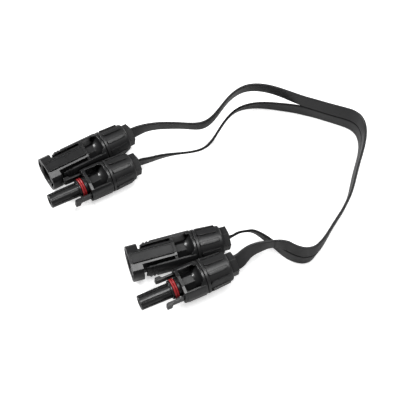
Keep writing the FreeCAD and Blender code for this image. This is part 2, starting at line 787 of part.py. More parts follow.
def socket_contact(plug):
    """Sleeve split into four at its mouth."""
    sleeve = rod(size.socket_dia / 2, size.socket_mouth, CONTACT_BACK)
    bore = rod(size.contact_dia / 2, 0.0, size.socket_mouth + size.socket_depth)
    long, wide, thin = (0.0, 9.0), about(3.0), about(0.15)
    slits = [box(long, wide, thin), box(long, thin, wide)]
    contact = cut(fuse(sleeve, *contact_rear()), bore, crimp_slot(), *slits)
    finish(contact, plug.name + "_socket_contact", plug.strip_place)


# ------------------------------------------------------------ pieces in every plug
def revolve(body, sketch, angle):
    turned = body.newObject("PartDesign::Revolution", "turned")
    turned.Profile = sketch
    turned.ReferenceAxis = (sketch, ["H_Axis"])
    turned.Angle = angle


def retaining_clip(plug):
    """Split spring ring with a flared rear lip."""
    body = doc.addObject("PartDesign::Body", "clip")
    neck = size.neck_dia / 2
    outline = draw(body_sketch(body), [
        (25.35, neck + 0.05), (25.35, neck + 0.45), (26.4, neck + 0.5),
        (27.85, size.clip_bore / 2 - 0.1), (27.85, neck + 1.0), (26.7, neck + 0.05),
    ])
    revolve(body, outline, 330)
    finish(body, plug.name + "_retaining_clip", plug.strip_place)


def seal_bushing(plug):
    """Round bush with two grooves outside and a flat slot for the strip."""
    radius = size.seal_dia / 2
    outline = [(size.seal_from, 0.0), (size.seal_from, radius - 0.4),
               (size.seal_from + 0.4, radius)]
    for groove in (41.5, 45.2):
        outline += [(groove, radius), (groove + 0.4, radius - 0.4),
                    (groove + 1.4, radius - 0.4), (groove + 1.8, radius)]
    outline += [(size.seal_to - 0.8, radius), (size.seal_to, radius - 0.8), (size.seal_to, 0.0)]
    slot = box((38.0, 51.0), about(size.slot_wide / 2), about(size.slot_thick / 2))
    finish(cut(spin(outline), slot), plug.name + "_seal_bushing", plug.strip_place)


def clamp_basket(plug):
    """Cup with an open front edge divided by three cuts right across it."""
    outer, inner, hole = size.basket_dia / 2, size.basket_in / 2, size.basket_hole / 2
    cup = spin([
        (size.basket_from, inner), (size.basket_from, outer - 0.35),
        (size.basket_from + 0.6, outer), (size.basket_to - 0.8, outer),
        (size.basket_to, outer - 0.8), (size.basket_to, hole),
        (size.basket_ring, hole), (size.basket_ring, inner),
    ])
    gaps = [turned_box(length=2.8, width=16.0, height=1.1, x=size.basket_from.value - 0.7,
                       z=-0.55, angle=30.0 + 60.0 * i) for i in range(3)]
    finish(cut(cup, *gaps), plug.name + "_clamp_basket", plug.strip_place)


def nut_barrel(body):
    """Hollow barrel with a smooth front collar; returns its sketch."""
    collar, rear = size.nut_collar_dia / 2, size.nut_rear_dia / 2
    bore, cavity = size.nut_bore / 2, size.nut_cavity / 2
    shoulder, exit_radius = size.nut_shoulder, size.exit_bore / 2
    outline = draw(body_sketch(body), [
        (size.nut_from, bore), (size.nut_from, collar - 0.15), (size.nut_from + 0.2, collar),
        (size.rib_from - 0.6, collar), (size.rib_from - 0.3, size.nut_dia / 2),
        (size.rib_to + 0.6, rear), (shoulder - 0.6, rear - 0.1), (shoulder, rear - 0.6),
        (shoulder, exit_radius), (shoulder - 0.7, exit_radius),
        (shoulder - 0.7, cavity - 0.6), (shoulder - 1.6, cavity), (47.8, cavity), (47.4, bore),
    ])
    revolve(body, outline, 360)
    return outline


def nut_ribs(body, axis_sketch):
    """Ten lengthwise ribs rooted inside the barrel wall."""
    half, front, back = size.rib_wide / 2, size.rib_from, size.rib_to
    plan = draw(body_sketch(body), [
        (front, -half + 0.5), (front + 0.7, -half), (back - 0.5, -half), (back, -half + 0.4),
        (back, half - 0.4), (back - 0.5, half), (front + 0.7, half), (front, half - 0.5),
    ])
    root = size.nut_dia / 2 - 0.8
    turn = FreeCAD.Rotation(X_AXIS, 18.0)
    plan.AttachmentOffset = FreeCAD.Placement(turn.multVec(V(0, 0, root.value)), turn)
    rib = body.newObject("PartDesign::Pad", "rib")
    rib.Profile = plan
    bind(rib, "Length", size.rib_out_dia / 2 + 0.05 - root)
    doc.recompute()
    ribs = body.newObject("PartDesign::PolarPattern", "ribs")
    ribs.Originals = [rib]
    ribs.Axis = (axis_sketch, ["H_Axis"])
    ribs.Angle = 360
    ribs.Occurrences = 10
    body.Tip = ribs


def nut_hexagon(body):
    """Hexagonal tail."""
    corner_radius = size.hex_flats * (0.5 / math.cos(math.pi / 6))
    angles = [math.pi / 3 * i + math.pi / 6 for i in range(6)]
    outline = draw(body_sketch(body, "YZ_Plane"), [
        (corner_radius * math.cos(angle), corner_radius * math.sin(angle)) for angle in angles])
    outline.AttachmentOffset = FreeCAD.Placement(
        V(0, 0, size.hex_from.value), FreeCAD.Rotation())
    tail = body.newObject("PartDesign::Pad", "hexagon")
    tail.Profile = outline
    bind(tail, "Length", size.plug_len - size.hex_from)
    body.Tip = tail


def nut_exit(body):
    """Round hole through the hexagon, cut forward from just behind the tail face."""
    radius = size.exit_bore / 2
    outline = body_sketch(body, "YZ_Plane")
    outline.AttachmentOffset = FreeCAD.Placement(
        V(0, 0, size.plug_len.value + 1.0), FreeCAD.Rotation())
    outline.addGeometry(Part.Circle(V(0, 0, 0), UP, radius.value), False)
    outline.addConstraint(Sketcher.Constraint("Coincident", 0, 3, -1, 1))
    index = outline.addConstraint(Sketcher.Constraint("Radius", 0, radius.value))
    outline.renameConstraint(index, "exit_radius")
    outline.setExpression("Constraints.exit_radius", radius.expression)
    doc.recompute()
    hole = body.newObject("PartDesign::Pocket", "strip_exit")
    hole.Profile = outline
    hole.Length = 5.5
    body.Tip = hole


def gland_nut(plug):
    """Ribbed barrel with a hexagonal tail; the rib tops taper toward the back."""
    body = doc.addObject("PartDesign::Body", "nut")
    axis_sketch = nut_barrel(body)
    nut_ribs(body, axis_sketch)
    nut_hexagon(body)
    nut_exit(body)
    front, back, top = size.rib_from - 0.2, size.rib_to + 0.6, size.rib_out_dia / 2
    taper = spin([(front, top), (back, size.rib_rear_dia / 2), (back, top + 1.5),
                  (front, top + 1.5)])
    finish(cut(body, taper), plug.name + "_gland_nut", plug.place)


# ------------------------------------------------------------ build
build_cable()
for leg in legs:
    build_lead(leg)
for name in ("shell1", "shell2"):
    shell_housing(plugs[name])
    pin_contact(plugs[name])
for name in ("probe1", "probe2"):
    probe_housing(plugs[name])
    latch_finger(plugs[name], "left", 1)
    latch_finger(plugs[name], "right", -1)
    o_ring(plugs[name])
    socket_contact(plugs[name])
for plug in plugs.values():
    retaining_clip(plug)
    seal_bushing(plug)
    clamp_basket(plug)
    gland_nut(plug)
doc.recompute()

# ------------------------------------------------------------ check and export
problems = []
for item in doc.Objects:
    if any(word in ("Invalid", "Error") for word in item.State):
        problems.append("%s (%s): %s" % (item.Name, item.Label, item.State))
for piece in pieces:
    shape = piece.Shape
    if shape.isNull() or not shape.isValid():
        problems.append(piece.Label + ": shape is null or not valid")
    elif len(shape.Solids) != 1 or shape.Volume <= 0:
        problems.append("%s: %d solids, volume %.3f"
                        % (piece.Label, len(shape.Solids), shape.Volume))
if problems:
    raise SystemExit("\n".join(problems))

os.makedirs("parts", exist_ok=True)
for piece in pieces:
    piece.Shape.exportStep("parts/" + piece.Label + ".step")
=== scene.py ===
"""A flat twin cable with a round plug on each of its four strip ends.

Two flat strips, an upper and a lower one, stand edge on edge and join along a groove, so the
cable's width is roughly along +Z. Each end of the cable splits into two free strips, one per
plug: shell1 and probe1 at the start (-X), shell2 and probe2 at the stop. Behind each plug lies
a lead piece, which bends when the plug moves. The tables are in millimetres, the scene in metres.
"""

import math
import re
from functools import cached_property

import bmesh
import bpy
import numpy as np
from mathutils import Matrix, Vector

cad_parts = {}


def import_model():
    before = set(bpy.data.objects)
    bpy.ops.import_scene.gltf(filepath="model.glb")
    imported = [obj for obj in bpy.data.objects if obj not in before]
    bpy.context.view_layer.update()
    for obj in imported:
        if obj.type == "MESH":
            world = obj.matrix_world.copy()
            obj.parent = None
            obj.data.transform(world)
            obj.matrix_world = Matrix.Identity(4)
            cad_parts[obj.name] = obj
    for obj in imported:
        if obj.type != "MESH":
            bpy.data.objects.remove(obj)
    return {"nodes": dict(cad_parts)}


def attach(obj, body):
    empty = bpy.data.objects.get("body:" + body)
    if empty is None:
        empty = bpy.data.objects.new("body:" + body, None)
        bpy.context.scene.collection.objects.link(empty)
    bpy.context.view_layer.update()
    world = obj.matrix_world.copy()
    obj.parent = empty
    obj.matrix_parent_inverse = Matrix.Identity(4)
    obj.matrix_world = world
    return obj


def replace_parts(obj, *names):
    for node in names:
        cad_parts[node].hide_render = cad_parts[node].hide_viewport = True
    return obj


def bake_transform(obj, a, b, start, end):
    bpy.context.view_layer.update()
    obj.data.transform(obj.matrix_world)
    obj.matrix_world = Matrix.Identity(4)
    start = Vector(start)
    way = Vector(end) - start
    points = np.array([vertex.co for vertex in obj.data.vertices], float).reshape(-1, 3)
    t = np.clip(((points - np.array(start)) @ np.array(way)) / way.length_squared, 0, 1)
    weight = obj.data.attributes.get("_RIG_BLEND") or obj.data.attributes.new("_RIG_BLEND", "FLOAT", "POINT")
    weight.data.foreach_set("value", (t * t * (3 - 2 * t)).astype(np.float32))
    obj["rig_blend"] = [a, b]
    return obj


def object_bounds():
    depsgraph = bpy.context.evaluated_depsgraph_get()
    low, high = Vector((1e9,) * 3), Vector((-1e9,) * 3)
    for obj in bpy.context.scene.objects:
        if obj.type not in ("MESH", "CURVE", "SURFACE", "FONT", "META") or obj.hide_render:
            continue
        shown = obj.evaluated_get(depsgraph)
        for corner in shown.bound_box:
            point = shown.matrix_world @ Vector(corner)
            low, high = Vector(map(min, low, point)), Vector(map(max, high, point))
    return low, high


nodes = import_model()["nodes"]
cad_box = [list(corner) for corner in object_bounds()]
scene = bpy.context.scene
MM = 0.001
SHIFT = np.array((-1.98, 0.111, 0.268))  # from the tables' origin to the scene's, mm

# ---------------------------------------------------------------- strip tables, mm
# Joined strips. First line: groove point, width and thickness directions of the upper strip.
# Second line: width and thickness directions of the lower strip. Both widths point upwards.
TWIN = [
    (62.9, 64.06, 8.63, 0.00904, -0.00791, 0.99993, -0.36901, -0.92942, -0.00401,
     -0.03504, -0.1187, 0.99231, -0.36745, -0.92184, -0.12325),
    (67.537, 62.207, 8.577, 0.01185, 0.00553, 0.99991, -0.37525, -0.92687, 0.00958,
     -0.05445, -0.15785, 0.98596, -0.37147, -0.91335, -0.16674),
    (72.156, 60.293, 8.548, 0.01274, 0.02321, 0.99965, -0.38848, -0.92108, 0.02634,
     -0.07128, -0.17582, 0.98184, -0.3821, -0.90444, -0.1897),
    (76.765, 58.361, 8.547, 0.01485, 0.04142, 0.99903, -0.37972, -0.92406, 0.04396,
     -0.07383, -0.17452, 0.98188, -0.37277, -0.90837, -0.18949),
    (81.394, 56.533, 8.565, 0.01525, 0.05421, 0.99841, -0.35898, -0.93166, 0.05606,
     -0.06873, -0.16415, 0.98404, -0.35267, -0.91869, -0.17788),
    (86.033, 54.682, 8.603, 0.01824, 0.06843, 0.99749, -0.39142, -0.91754, 0.0701,
     -0.06824, -0.13492, 0.9885, -0.38586, -0.91014, -0.15086),
    (90.549, 52.42, 8.663, 0.0446, 0.09052, 0.9949, -0.54255, -0.83403, 0.10021,
     -0.06066, -0.07169, 0.99558, -0.54099, -0.83586, -0.09315),
    (94, 48.884, 8.697, 0.10195, 0.06196, 0.99286, -0.85261, -0.50876, 0.1193,
     -0.01076, -0.00531, 0.99993, -0.85861, -0.51249, -0.01196),
    (95.73, 44.141, 8.688, 0.11675, 0.01813, 0.993, -0.97679, -0.17869, 0.11811,
     0.05747, 0.00729, 0.99832, -0.98206, -0.17945, 0.05784),
    (95.978, 39.14, 8.67, 0.11787, -0.01098, 0.99297, -0.99125, 0.05857, 0.11832,
     0.0896, -0.00931, 0.99593, -0.9942, 0.05886, 0.09),
    (95.344, 34.15, 8.648, 0.11909, -0.026, 0.99254, -0.97722, 0.17382, 0.1218,
     0.10657, -0.02378, 0.99402, -0.97866, 0.17414, 0.10909),
    (94.291, 29.265, 8.625, 0.12091, -0.03433, 0.99207, -0.96301, 0.23841, 0.12562,
     0.1262, -0.03564, 0.99136, -0.96233, 0.23822, 0.13107),
    (92.989, 24.45, 8.608, 0.11807, -0.0363, 0.99234, -0.95372, 0.27415, 0.12351,
     0.14088, -0.04286, 0.9891, -0.95062, 0.2732, 0.14724),
    (91.578, 19.659, 8.602, 0.10696, -0.03211, 0.99374, -0.953, 0.28164, 0.11168,
     0.14603, -0.04366, 0.98832, -0.9478, 0.28009, 0.15242),
    (90.203, 14.854, 8.602, 0.08799, -0.02334, 0.99585, -0.96105, 0.26095, 0.09103,
     0.14589, -0.03906, 0.98853, -0.95398, 0.25906, 0.15103),
    (88.943, 10.016, 8.607, 0.06481, -0.01526, 0.99778, -0.96613, 0.24933, 0.06656,
     0.14268, -0.03536, 0.98914, -0.95773, 0.24728, 0.14699),
    (87.632, 5.196, 8.617, 0.0558, -0.01353, 0.99835, -0.95756, 0.28246, 0.05735,
     0.13384, -0.03656, 0.99033, -0.9498, 0.28041, 0.13872),
    (86.053, 0.461, 8.635, 0.08047, -0.02599, 0.99642, -0.93284, 0.35026, 0.08447,
     0.11734, -0.03984, 0.99229, -0.92892, 0.34896, 0.12385),
    (84.155, -4.163, 8.648, 0.12669, -0.05543, 0.99039, -0.90592, 0.40023, 0.13829,
     0.10267, -0.04481, 0.99371, -0.90896, 0.40156, 0.11203),
    (82.049, -8.694, 8.632, 0.15916, -0.08478, 0.98361, -0.88529, 0.42872, 0.1802,
     0.10841, -0.0602, 0.99228, -0.89292, 0.43285, 0.12381),
    (79.798, -13.15, 8.589, 0.16812, -0.09847, 0.98084, -0.86963, 0.45372, 0.1946,
     0.13523, -0.0813, 0.98747, -0.87535, 0.45711, 0.15752),
    (77.414, -17.55, 8.549, 0.16262, -0.09743, 0.98187, -0.85784, 0.4777, 0.18948,
     0.162, -0.09708, 0.982, -0.85796, 0.47777, 0.18877),
    (74.942, -21.911, 8.526, 0.14755, -0.08911, 0.98503, -0.85619, 0.48709, 0.17231,
     0.17584, -0.1052, 0.97878, -0.85083, 0.48386, 0.20486),
    (72.498, -26.257, 8.495, 0.1254, -0.07868, 0.98898, -0.86722, 0.47548, 0.14779,
     0.18803, -0.113, 0.97564, -0.85583, 0.46852, 0.2192),
    (70.175, -30.605, 8.437, 0.09984, -0.06797, 0.99268, -0.87862, 0.4622, 0.12002,
     0.21084, -0.12624, 0.96934, -0.85877, 0.44979, 0.24537),
    (67.789, -34.963, 8.382, 0.07484, -0.05092, 0.99589, -0.86194, 0.49892, 0.09029,
     0.23075, -0.14104, 0.96274, -0.83384, 0.48127, 0.27036),
    (65.007, -39.314, 8.39, 0.05332, -0.02602, 0.99824, -0.80698, 0.58768, 0.05842,
     0.22243, -0.14947, 0.96342, -0.77755, 0.56895, 0.26779),
    (61.443, -42.949, 8.474, 0.03274, -0.01212, 0.99939, -0.54816, 0.8359, 0.0281,
     0.14251, -0.18029, 0.97324, -0.53032, 0.81632, 0.22887),
    (56.727, -44.193, 8.572, 0.01661, -0.00886, 0.99982, 0.03888, 0.99921, 0.0082,
     0.01, -0.17283, 0.9849, 0.04108, 0.98419, 0.17228),
    (51.87, -42.914, 8.637, 0.00864, -0.002, 0.99996, 0.43091, 0.90239, -0.00192,
     -0.04505, -0.11429, 0.99243, 0.42864, 0.89513, 0.12254),
    (47.565, -40.327, 8.669, 0.00892, 0.00395, 0.99995, 0.55492, 0.83186, -0.00824,
     -0.04333, -0.07434, 0.99629, 0.5533, 0.82854, 0.08589),
]
# Free strips, from just past the lead piece to the joined strips:
# centre, width and thickness directions.
LEGS = {
    "shell1": [
        (-12.885, 47.58, 10.073, -0.05071, -0.30919, 0.94965, -0.05614, -0.94848, -0.31181),
        (-9.228, 47.27, 10.191, -0.06206, -0.31783, 0.94611, -0.08214, -0.9431, -0.3222),
        (-5.483, 46.897, 10.312, -0.05583, -0.30399, 0.95104, -0.06863, -0.9491, -0.3074),
        (-1.781, 46.818, 10.434, -0.01498, -0.27529, 0.96125, 0.07281, -0.9591, -0.27354),
        (1.66, 47.544, 10.561, 0.05441, -0.23372, 0.97078, 0.36955, -0.89847, -0.23702),
        (4.677, 49.392, 10.696, 0.10677, -0.18603, 0.97673, 0.63029, -0.74709, -0.21119),
        (7.288, 52.059, 10.834, 0.12956, -0.15363, 0.9796, 0.7603, -0.61879, -0.1976),
        (9.545, 55.121, 10.974, 0.14194, -0.13921, 0.98004, 0.81787, -0.54123, -0.19533),
        (11.524, 58.236, 11.113, 0.15409, -0.13756, 0.97843, 0.84054, -0.50228, -0.20299),
        (13.381, 61.325, 11.253, 0.1667, -0.14542, 0.97522, 0.84004, -0.49693, -0.2177),
        (15.287, 64.37, 11.396, 0.17583, -0.16287, 0.97085, 0.81632, -0.52707, -0.23627),
        (17.415, 67.348, 11.545, 0.17724, -0.18859, 0.96593, 0.76836, -0.58679, -0.25555),
        (19.871, 70.174, 11.7, 0.16703, -0.21923, 0.96127, 0.69672, -0.66361, -0.27241),
        (22.653, 72.655, 11.859, 0.1391, -0.25099, 0.95794, 0.59083, -0.75527, -0.28369),
        (25.748, 74.587, 12.019, 0.08796, -0.27598, 0.95713, 0.43256, -0.85495, -0.28627),
        (29.142, 75.769, 12.177, 0.01756, -0.27991, 0.95987, 0.21366, -0.93679, -0.27709),
        (32.762, 76.144, 12.33, -0.0369, -0.2573, 0.96563, 0.01564, -0.96631, -0.25689),
        (36.454, 75.866, 12.467, -0.0673, -0.22465, 0.97211, -0.13614, -0.96314, -0.23201),
        (40.061, 75.098, 12.582, -0.08164, -0.19446, 0.97751, -0.25249, -0.94475, -0.20903),
        (43.526, 73.96, 12.675, -0.08896, -0.16817, 0.98174, -0.34533, -0.9193, -0.18876),
        (46.872, 72.534, 12.758, -0.0904, -0.14208, 0.98572, -0.41482, -0.89445, -0.16697),
        (50.126, 70.9, 12.838, -0.08534, -0.11232, 0.99, -0.46221, -0.87578, -0.1392),
        (53.316, 69.141, 12.924, -0.07088, -0.07752, 0.99447, -0.48746, -0.86713, -0.10234),
        (56.484, 67.346, 13.005, -0.04746, -0.04415, 0.9979, -0.48761, -0.87088, -0.06173),
        (59.677, 65.609, 13.063, -0.02186, -0.01798, 0.9996, -0.46127, -0.88688, -0.02604),
        (62.94, 64.025, 13.08, 0.00904, -0.00791, 0.99993, -0.36901, -0.92942, -0.00401),
    ],
    "probe1": [
        (-8.121, 27.826, 8.852, 0.1645, -0.60672, 0.77771, 0.12494, -0.76928, -0.62658),
        (-4.538, 28.667, 8.659, 0.20629, -0.58881, 0.7815, 0.17579, -0.76339, -0.62156),
        (-1.065, 29.873, 8.452, 0.28416, -0.52892, 0.79968, 0.29072, -0.74727, -0.59756),
        (2.025, 31.676, 8.233, 0.38119, -0.40566, 0.83074, 0.48258, -0.67914, -0.55307),
        (4.545, 34.206, 8.003, 0.41831, -0.26173, 0.86978, 0.66173, -0.56815, -0.48921),
        (6.601, 37.248, 7.765, 0.39181, -0.1617, 0.90573, 0.76897, -0.48295, -0.41887),
        (8.362, 40.518, 7.521, 0.34976, -0.10771, 0.93062, 0.82079, -0.44365, -0.35983),
        (9.979, 43.792, 7.272, 0.32323, -0.08385, 0.9426, 0.84085, -0.43153, -0.32673),
        (11.538, 47.038, 7.021, 0.31637, -0.07866, 0.94537, 0.84428, -0.43106, -0.3184),
        (13.119, 50.267, 6.769, 0.32492, -0.08947, 0.9415, 0.83327, -0.44377, -0.32974),
        (14.796, 53.484, 6.518, 0.34301, -0.11454, 0.93232, 0.80901, -0.46835, -0.35518),
        (16.647, 56.671, 6.271, 0.36223, -0.15492, 0.91912, 0.76692, -0.5109, -0.38836),
        (18.745, 59.697, 6.028, 0.36911, -0.21174, 0.90494, 0.69948, -0.57784, -0.42051),
        (21.164, 62.405, 5.793, 0.34848, -0.28055, 0.89435, 0.59996, -0.66633, -0.44279),
        (23.975, 64.639, 5.567, 0.2882, -0.34677, 0.89258, 0.46103, -0.76673, -0.44674),
        (27.19, 66.303, 5.353, 0.2109, -0.37768, 0.9016, 0.32071, -0.84455, -0.4288),
        (30.687, 67.435, 5.15, 0.1418, -0.37369, 0.91665, 0.19883, -0.89638, -0.39619),
        (34.327, 68.087, 4.962, 0.08739, -0.3504, 0.93252, 0.09153, -0.92931, -0.35777),
        (37.979, 68.317, 4.788, 0.04699, -0.3221, 0.94554, -0.00297, -0.94663, -0.32232),
        (41.604, 68.212, 4.633, 0.0188, -0.29367, 0.95572, -0.07464, -0.95364, -0.29156),
        (45.213, 67.875, 4.501, 0.00099, -0.26478, 0.96431, -0.11962, -0.95742, -0.26277),
        (48.818, 67.411, 4.397, -0.00841, -0.23413, 0.97217, -0.13708, -0.96276, -0.23305),
        (52.429, 66.907, 4.326, -0.01381, -0.2003, 0.97964, -0.14471, -0.96902, -0.20017),
        (56.025, 66.327, 4.28, -0.01962, -0.16641, 0.98586, -0.17703, -0.96989, -0.16724),
        (59.578, 65.584, 4.246, -0.02481, -0.13778, 0.99015, -0.23481, -0.96194, -0.13974),
        (63.056, 64.588, 4.214, -0.03504, -0.1187, 0.99231, -0.36745, -0.92184, -0.12325),
    ],
    "probe2": [
        (44.191, -39.208, 13.085, -0.02714, -0.06779, 0.99733, -0.19028, -0.97911, -0.07173),
        (47.605, -40.309, 13.119, 0.00892, 0.00395, 0.99995, -0.55492, -0.83186, 0.00824),
    ],
    "shell2": [
        (40.555, -33.896, 5.131, 0.00321, -0.23999, 0.97077, -0.65518, -0.7339, -0.17926),
        (42.915, -35.944, 4.698, -0.01056, -0.18434, 0.98281, -0.66735, -0.73065, -0.14422),
        (45.293, -38.018, 4.4, -0.01575, -0.13049, 0.99132, -0.64936, -0.75257, -0.10938),
        (47.758, -39.996, 4.236, -0.04333, -0.07434, 0.99629, -0.5533, -0.82854, -0.08589),
    ],
}
# Lead pieces: distance behind the plug, centre, width and thickness directions.
# The first row only sets the slope at 0; the last row also starts the free strip in LEGS.
LEADS = {
    "shell1": [
        (-5.5, -45.876, 38.536, 9.4, -0.0217, 0.03376, 0.99919, 0.54032, -0.8405, 0.04013),
        (0, -41.25, 41.51, 9.4, -0.0217, 0.03376, 0.99919, 0.54032, -0.8405, 0.04013),
        (2.167, -39.421, 42.672, 9.408, -0.03206, 0.02076, 0.99927, 0.51935, -0.85387, 0.0344),
        (4.333, -37.539, 43.754, 9.47, -0.02905, -0.02696, 0.99921, 0.47497, -0.87995, -0.00994),
        (6.5, -35.599, 44.726, 9.565, -0.00993, -0.0899, 0.9959, 0.42142, -0.90356, -0.07736),
        (8.667, -33.601, 45.566, 9.664, 0.013, -0.15204, 0.98829, 0.35536, -0.92315, -0.14669),
        (10.833, -31.545, 46.253, 9.741, 0.02897, -0.19903, 0.97957, 0.28136, -0.93873, -0.19905),
        (13, -29.44, 46.792, 9.791, 0.0324, -0.2303, 0.97258, 0.21435, -0.94885, -0.23182),
        (15.167, -27.3, 47.198, 9.824, 0.02808, -0.2488, 0.96815, 0.15592, -0.95558, -0.2501),
        (17.333, -25.136, 47.487, 9.846, 0.01935, -0.2583, 0.96587, 0.10604, -0.96007, -0.25887),
        (19.5, -22.962, 47.673, 9.865, 0.00805, -0.26304, 0.96475, 0.06432, -0.96265, -0.263),
        (21.667, -20.791, 47.771, 9.889, -0.00511, -0.26755, 0.96353, 0.03038, -0.96314, -0.26728),
        (23.833, -18.634, 47.798, 9.924, -0.01945, -0.27608, 0.96094, 0.00291, -0.96113, -0.27607),
        (26, -16.489, 47.763, 9.972, -0.03256, -0.2884, 0.95696, -0.02167, -0.95704, -0.28916),
    ],
    "probe1": [
        (-5.5, -41.089, 16.415, 9.65, 0.13226, -0.23415, 0.96316, 0.4737, -0.83862, -0.26892),
        (0, -36.3, 19.12, 9.65, 0.13226, -0.23415, 0.96316, 0.4737, -0.83862, -0.26892),
        (2.167, -34.394, 20.144, 9.649, 0.11395, -0.24952, 0.96164, 0.39224, -0.87802, -0.27429),
        (4.333, -32.37, 20.913, 9.64, 0.10508, -0.29423, 0.94994, 0.29953, -0.9015, -0.31236),
        (6.5, -30.305, 21.596, 9.62, 0.12726, -0.33558, 0.93338, 0.30086, -0.88363, -0.35872),
        (8.667, -28.268, 22.34, 9.59, 0.15416, -0.36255, 0.91912, 0.32113, -0.86136, -0.39363),
        (10.833, -26.249, 23.121, 9.549, 0.16999, -0.38526, 0.90702, 0.32029, -0.84884, -0.42057),
        (13, -24.226, 23.891, 9.499, 0.17509, -0.41107, 0.89463, 0.29835, -0.84379, -0.4461),
        (15.167, -22.179, 24.603, 9.441, 0.17242, -0.4444, 0.87908, 0.26071, -0.84003, -0.4758),
        (17.333, -20.105, 25.242, 9.374, 0.16878, -0.48146, 0.86006, 0.2234, -0.83119, -0.50914),
        (19.5, -18.012, 25.811, 9.299, 0.16349, -0.51855, 0.83927, 0.18797, -0.81876, -0.54249),
        (21.667, -15.907, 26.312, 9.216, 0.156, -0.55229, 0.81893, 0.15499, -0.80512, -0.5725),
        (23.833, -13.796, 26.749, 9.126, 0.14839, -0.57921, 0.80156, 0.12798, -0.79247, -0.59633),
        (26, -11.681, 27.147, 9.029, 0.14748, -0.59704, 0.78854, 0.11508, -0.78149, -0.61322),
    ],
    "shell2": [
        (-5.5, 9.867, -34.371, 9.65, 0.13722, -0.42457, 0.89493, 0.27522, -0.85156, -0.4462),
        (0, 15.1, -32.68, 9.65, 0.13722, -0.42457, 0.89493, 0.27522, -0.85156, -0.4462),
        (2.167, 17.12, -31.93, 9.64, 0.235, -0.38499, 0.8925, 0.42262, -0.78641, -0.4505),
        (4.333, 18.897, -30.688, 9.548, 0.34205, -0.34467, 0.87418, 0.52042, -0.70512, -0.48164),
        (6.5, 20.64, -29.386, 9.369, 0.35558, -0.39482, 0.84716, 0.41272, -0.74691, -0.52133),
        (8.667, 22.557, -28.453, 9.107, 0.30301, -0.47911, 0.8238, 0.22106, -0.80552, -0.54979),
        (10.833, 24.613, -27.786, 8.777, 0.28984, -0.50064, 0.81569, 0.14903, -0.81827, -0.55517),
        (13, 26.704, -27.199, 8.395, 0.27048, -0.49005, 0.82867, 0.08822, -0.84451, -0.52822),
        (15.167, 28.782, -27.018, 7.974, 0.13749, -0.49711, 0.85672, -0.17507, -0.86351, -0.47296),
        (17.333, 30.818, -27.522, 7.528, 0.02791, -0.45142, 0.89187, -0.40904, -0.81926, -0.40187),
        (19.5, 32.785, -28.469, 7.064, 0.00881, -0.39, 0.92077, -0.51727, -0.78982, -0.32958),
        (21.667, 34.656, -29.57, 6.594, 0.02626, -0.34564, 0.938, -0.55804, -0.78358, -0.27312),
        (23.833, 36.437, -30.738, 6.132, 0.03094, -0.31333, 0.94914, -0.59231, -0.77065, -0.2351),
        (26, 38.147, -31.973, 5.693, 0.02431, -0.28562, 0.95804, -0.62172, -0.75477, -0.20925),
    ],
    "probe2": [
        (-5.5, 13.473, -53.566, 12.734, -0.27953, 0.51833, 0.80821, 0.31574, -0.74532, 0.5872),
        (0, 18.46, -51.26, 12.98, -0.27953, 0.51833, 0.80821, 0.31574, -0.74532, 0.5872),
        (2.167, 20.378, -50.286, 13.064, -0.34289, 0.47288, 0.81168, 0.44954, -0.6761, 0.58379),
        (4.333, 21.983, -48.875, 13.065, -0.39306, 0.38672, 0.83424, 0.61292, -0.56612, 0.55121),
        (6.5, 23.415, -47.208, 13.017, -0.36631, 0.32991, 0.87004, 0.68075, -0.54242, 0.4923),
        (8.667, 24.858, -45.53, 12.966, -0.29048, 0.29475, 0.91035, 0.66754, -0.61921, 0.41349),
        (10.833, 26.455, -44.036, 12.945, -0.20211, 0.2513, 0.94657, 0.60085, -0.73143, 0.32248),
        (13, 28.218, -42.782, 12.947, -0.12363, 0.19443, 0.97309, 0.5064, -0.83096, 0.23037),
        (15.167, 30.133, -41.785, 12.959, -0.06608, 0.13275, 0.98894, 0.40236, -0.90341, 0.14815),
        (17.333, 32.149, -40.98, 12.973, -0.02988, 0.06511, 0.99743, 0.34186, -0.93703, 0.07141),
        (19.5, 34.2, -40.256, 12.983, 0.00107, -0.01314, 0.99991, 0.3266, -0.94507, -0.01276),
        (21.667, 36.263, -39.595, 12.99, 0.0228, -0.09542, 0.99518, 0.27261, -0.95712, -0.09802),
        (23.833, 38.381, -39.115, 13.004, 0.01413, -0.14863, 0.98879, 0.15843, -0.97607, -0.14898),
        (26, 40.572, -38.911, 13.031, -0.01003, -0.14666, 0.98914, 0.02875, -0.98882, -0.14632),
    ],
}
# plug axes, pointing from the nose towards the lead
PLUG_AXES = {
    "shell1": np.array((0.84118, 0.54076, 0)),
    "probe1": np.array((0.8707, 0.49182, 0)),
    "shell2": np.array((0.95154, 0.30753, 0)),
    "probe2": np.array((0.90674, 0.41932, 0.04468)),
}
# nose point, then two directions square to the axis
PROBE_FRAMES = {
    "probe1": np.array([(-85.059, -8.422, 9.65),
                        (-0.48107, 0.85167, 0.20791), (0.10225, -0.18103, 0.97815)]),
    "probe2": np.array([(-32.317, -74.742, 10.478),
                        (-0.419, 0.88391, 0.2077), (0.0476, -0.20706, 0.97717)]),
}
SIDE = {"shell1": 1, "probe1": -1, "probe2": 1, "shell2": -1}  # 1 upper strip, -1 lower
TURN = {"shell1": 1, "probe1": 1, "probe2": -1, "shell2": -1}  # 1 cable start, -1 cable stop


# ---------------------------------------------------------------- materials
# Noise gathers around 0.5: the span of it that a remap spreads out.
WIDE, NARROW = (0.3, 0.7), (0.35, 0.65)
FULL = (0.0, 1.0)


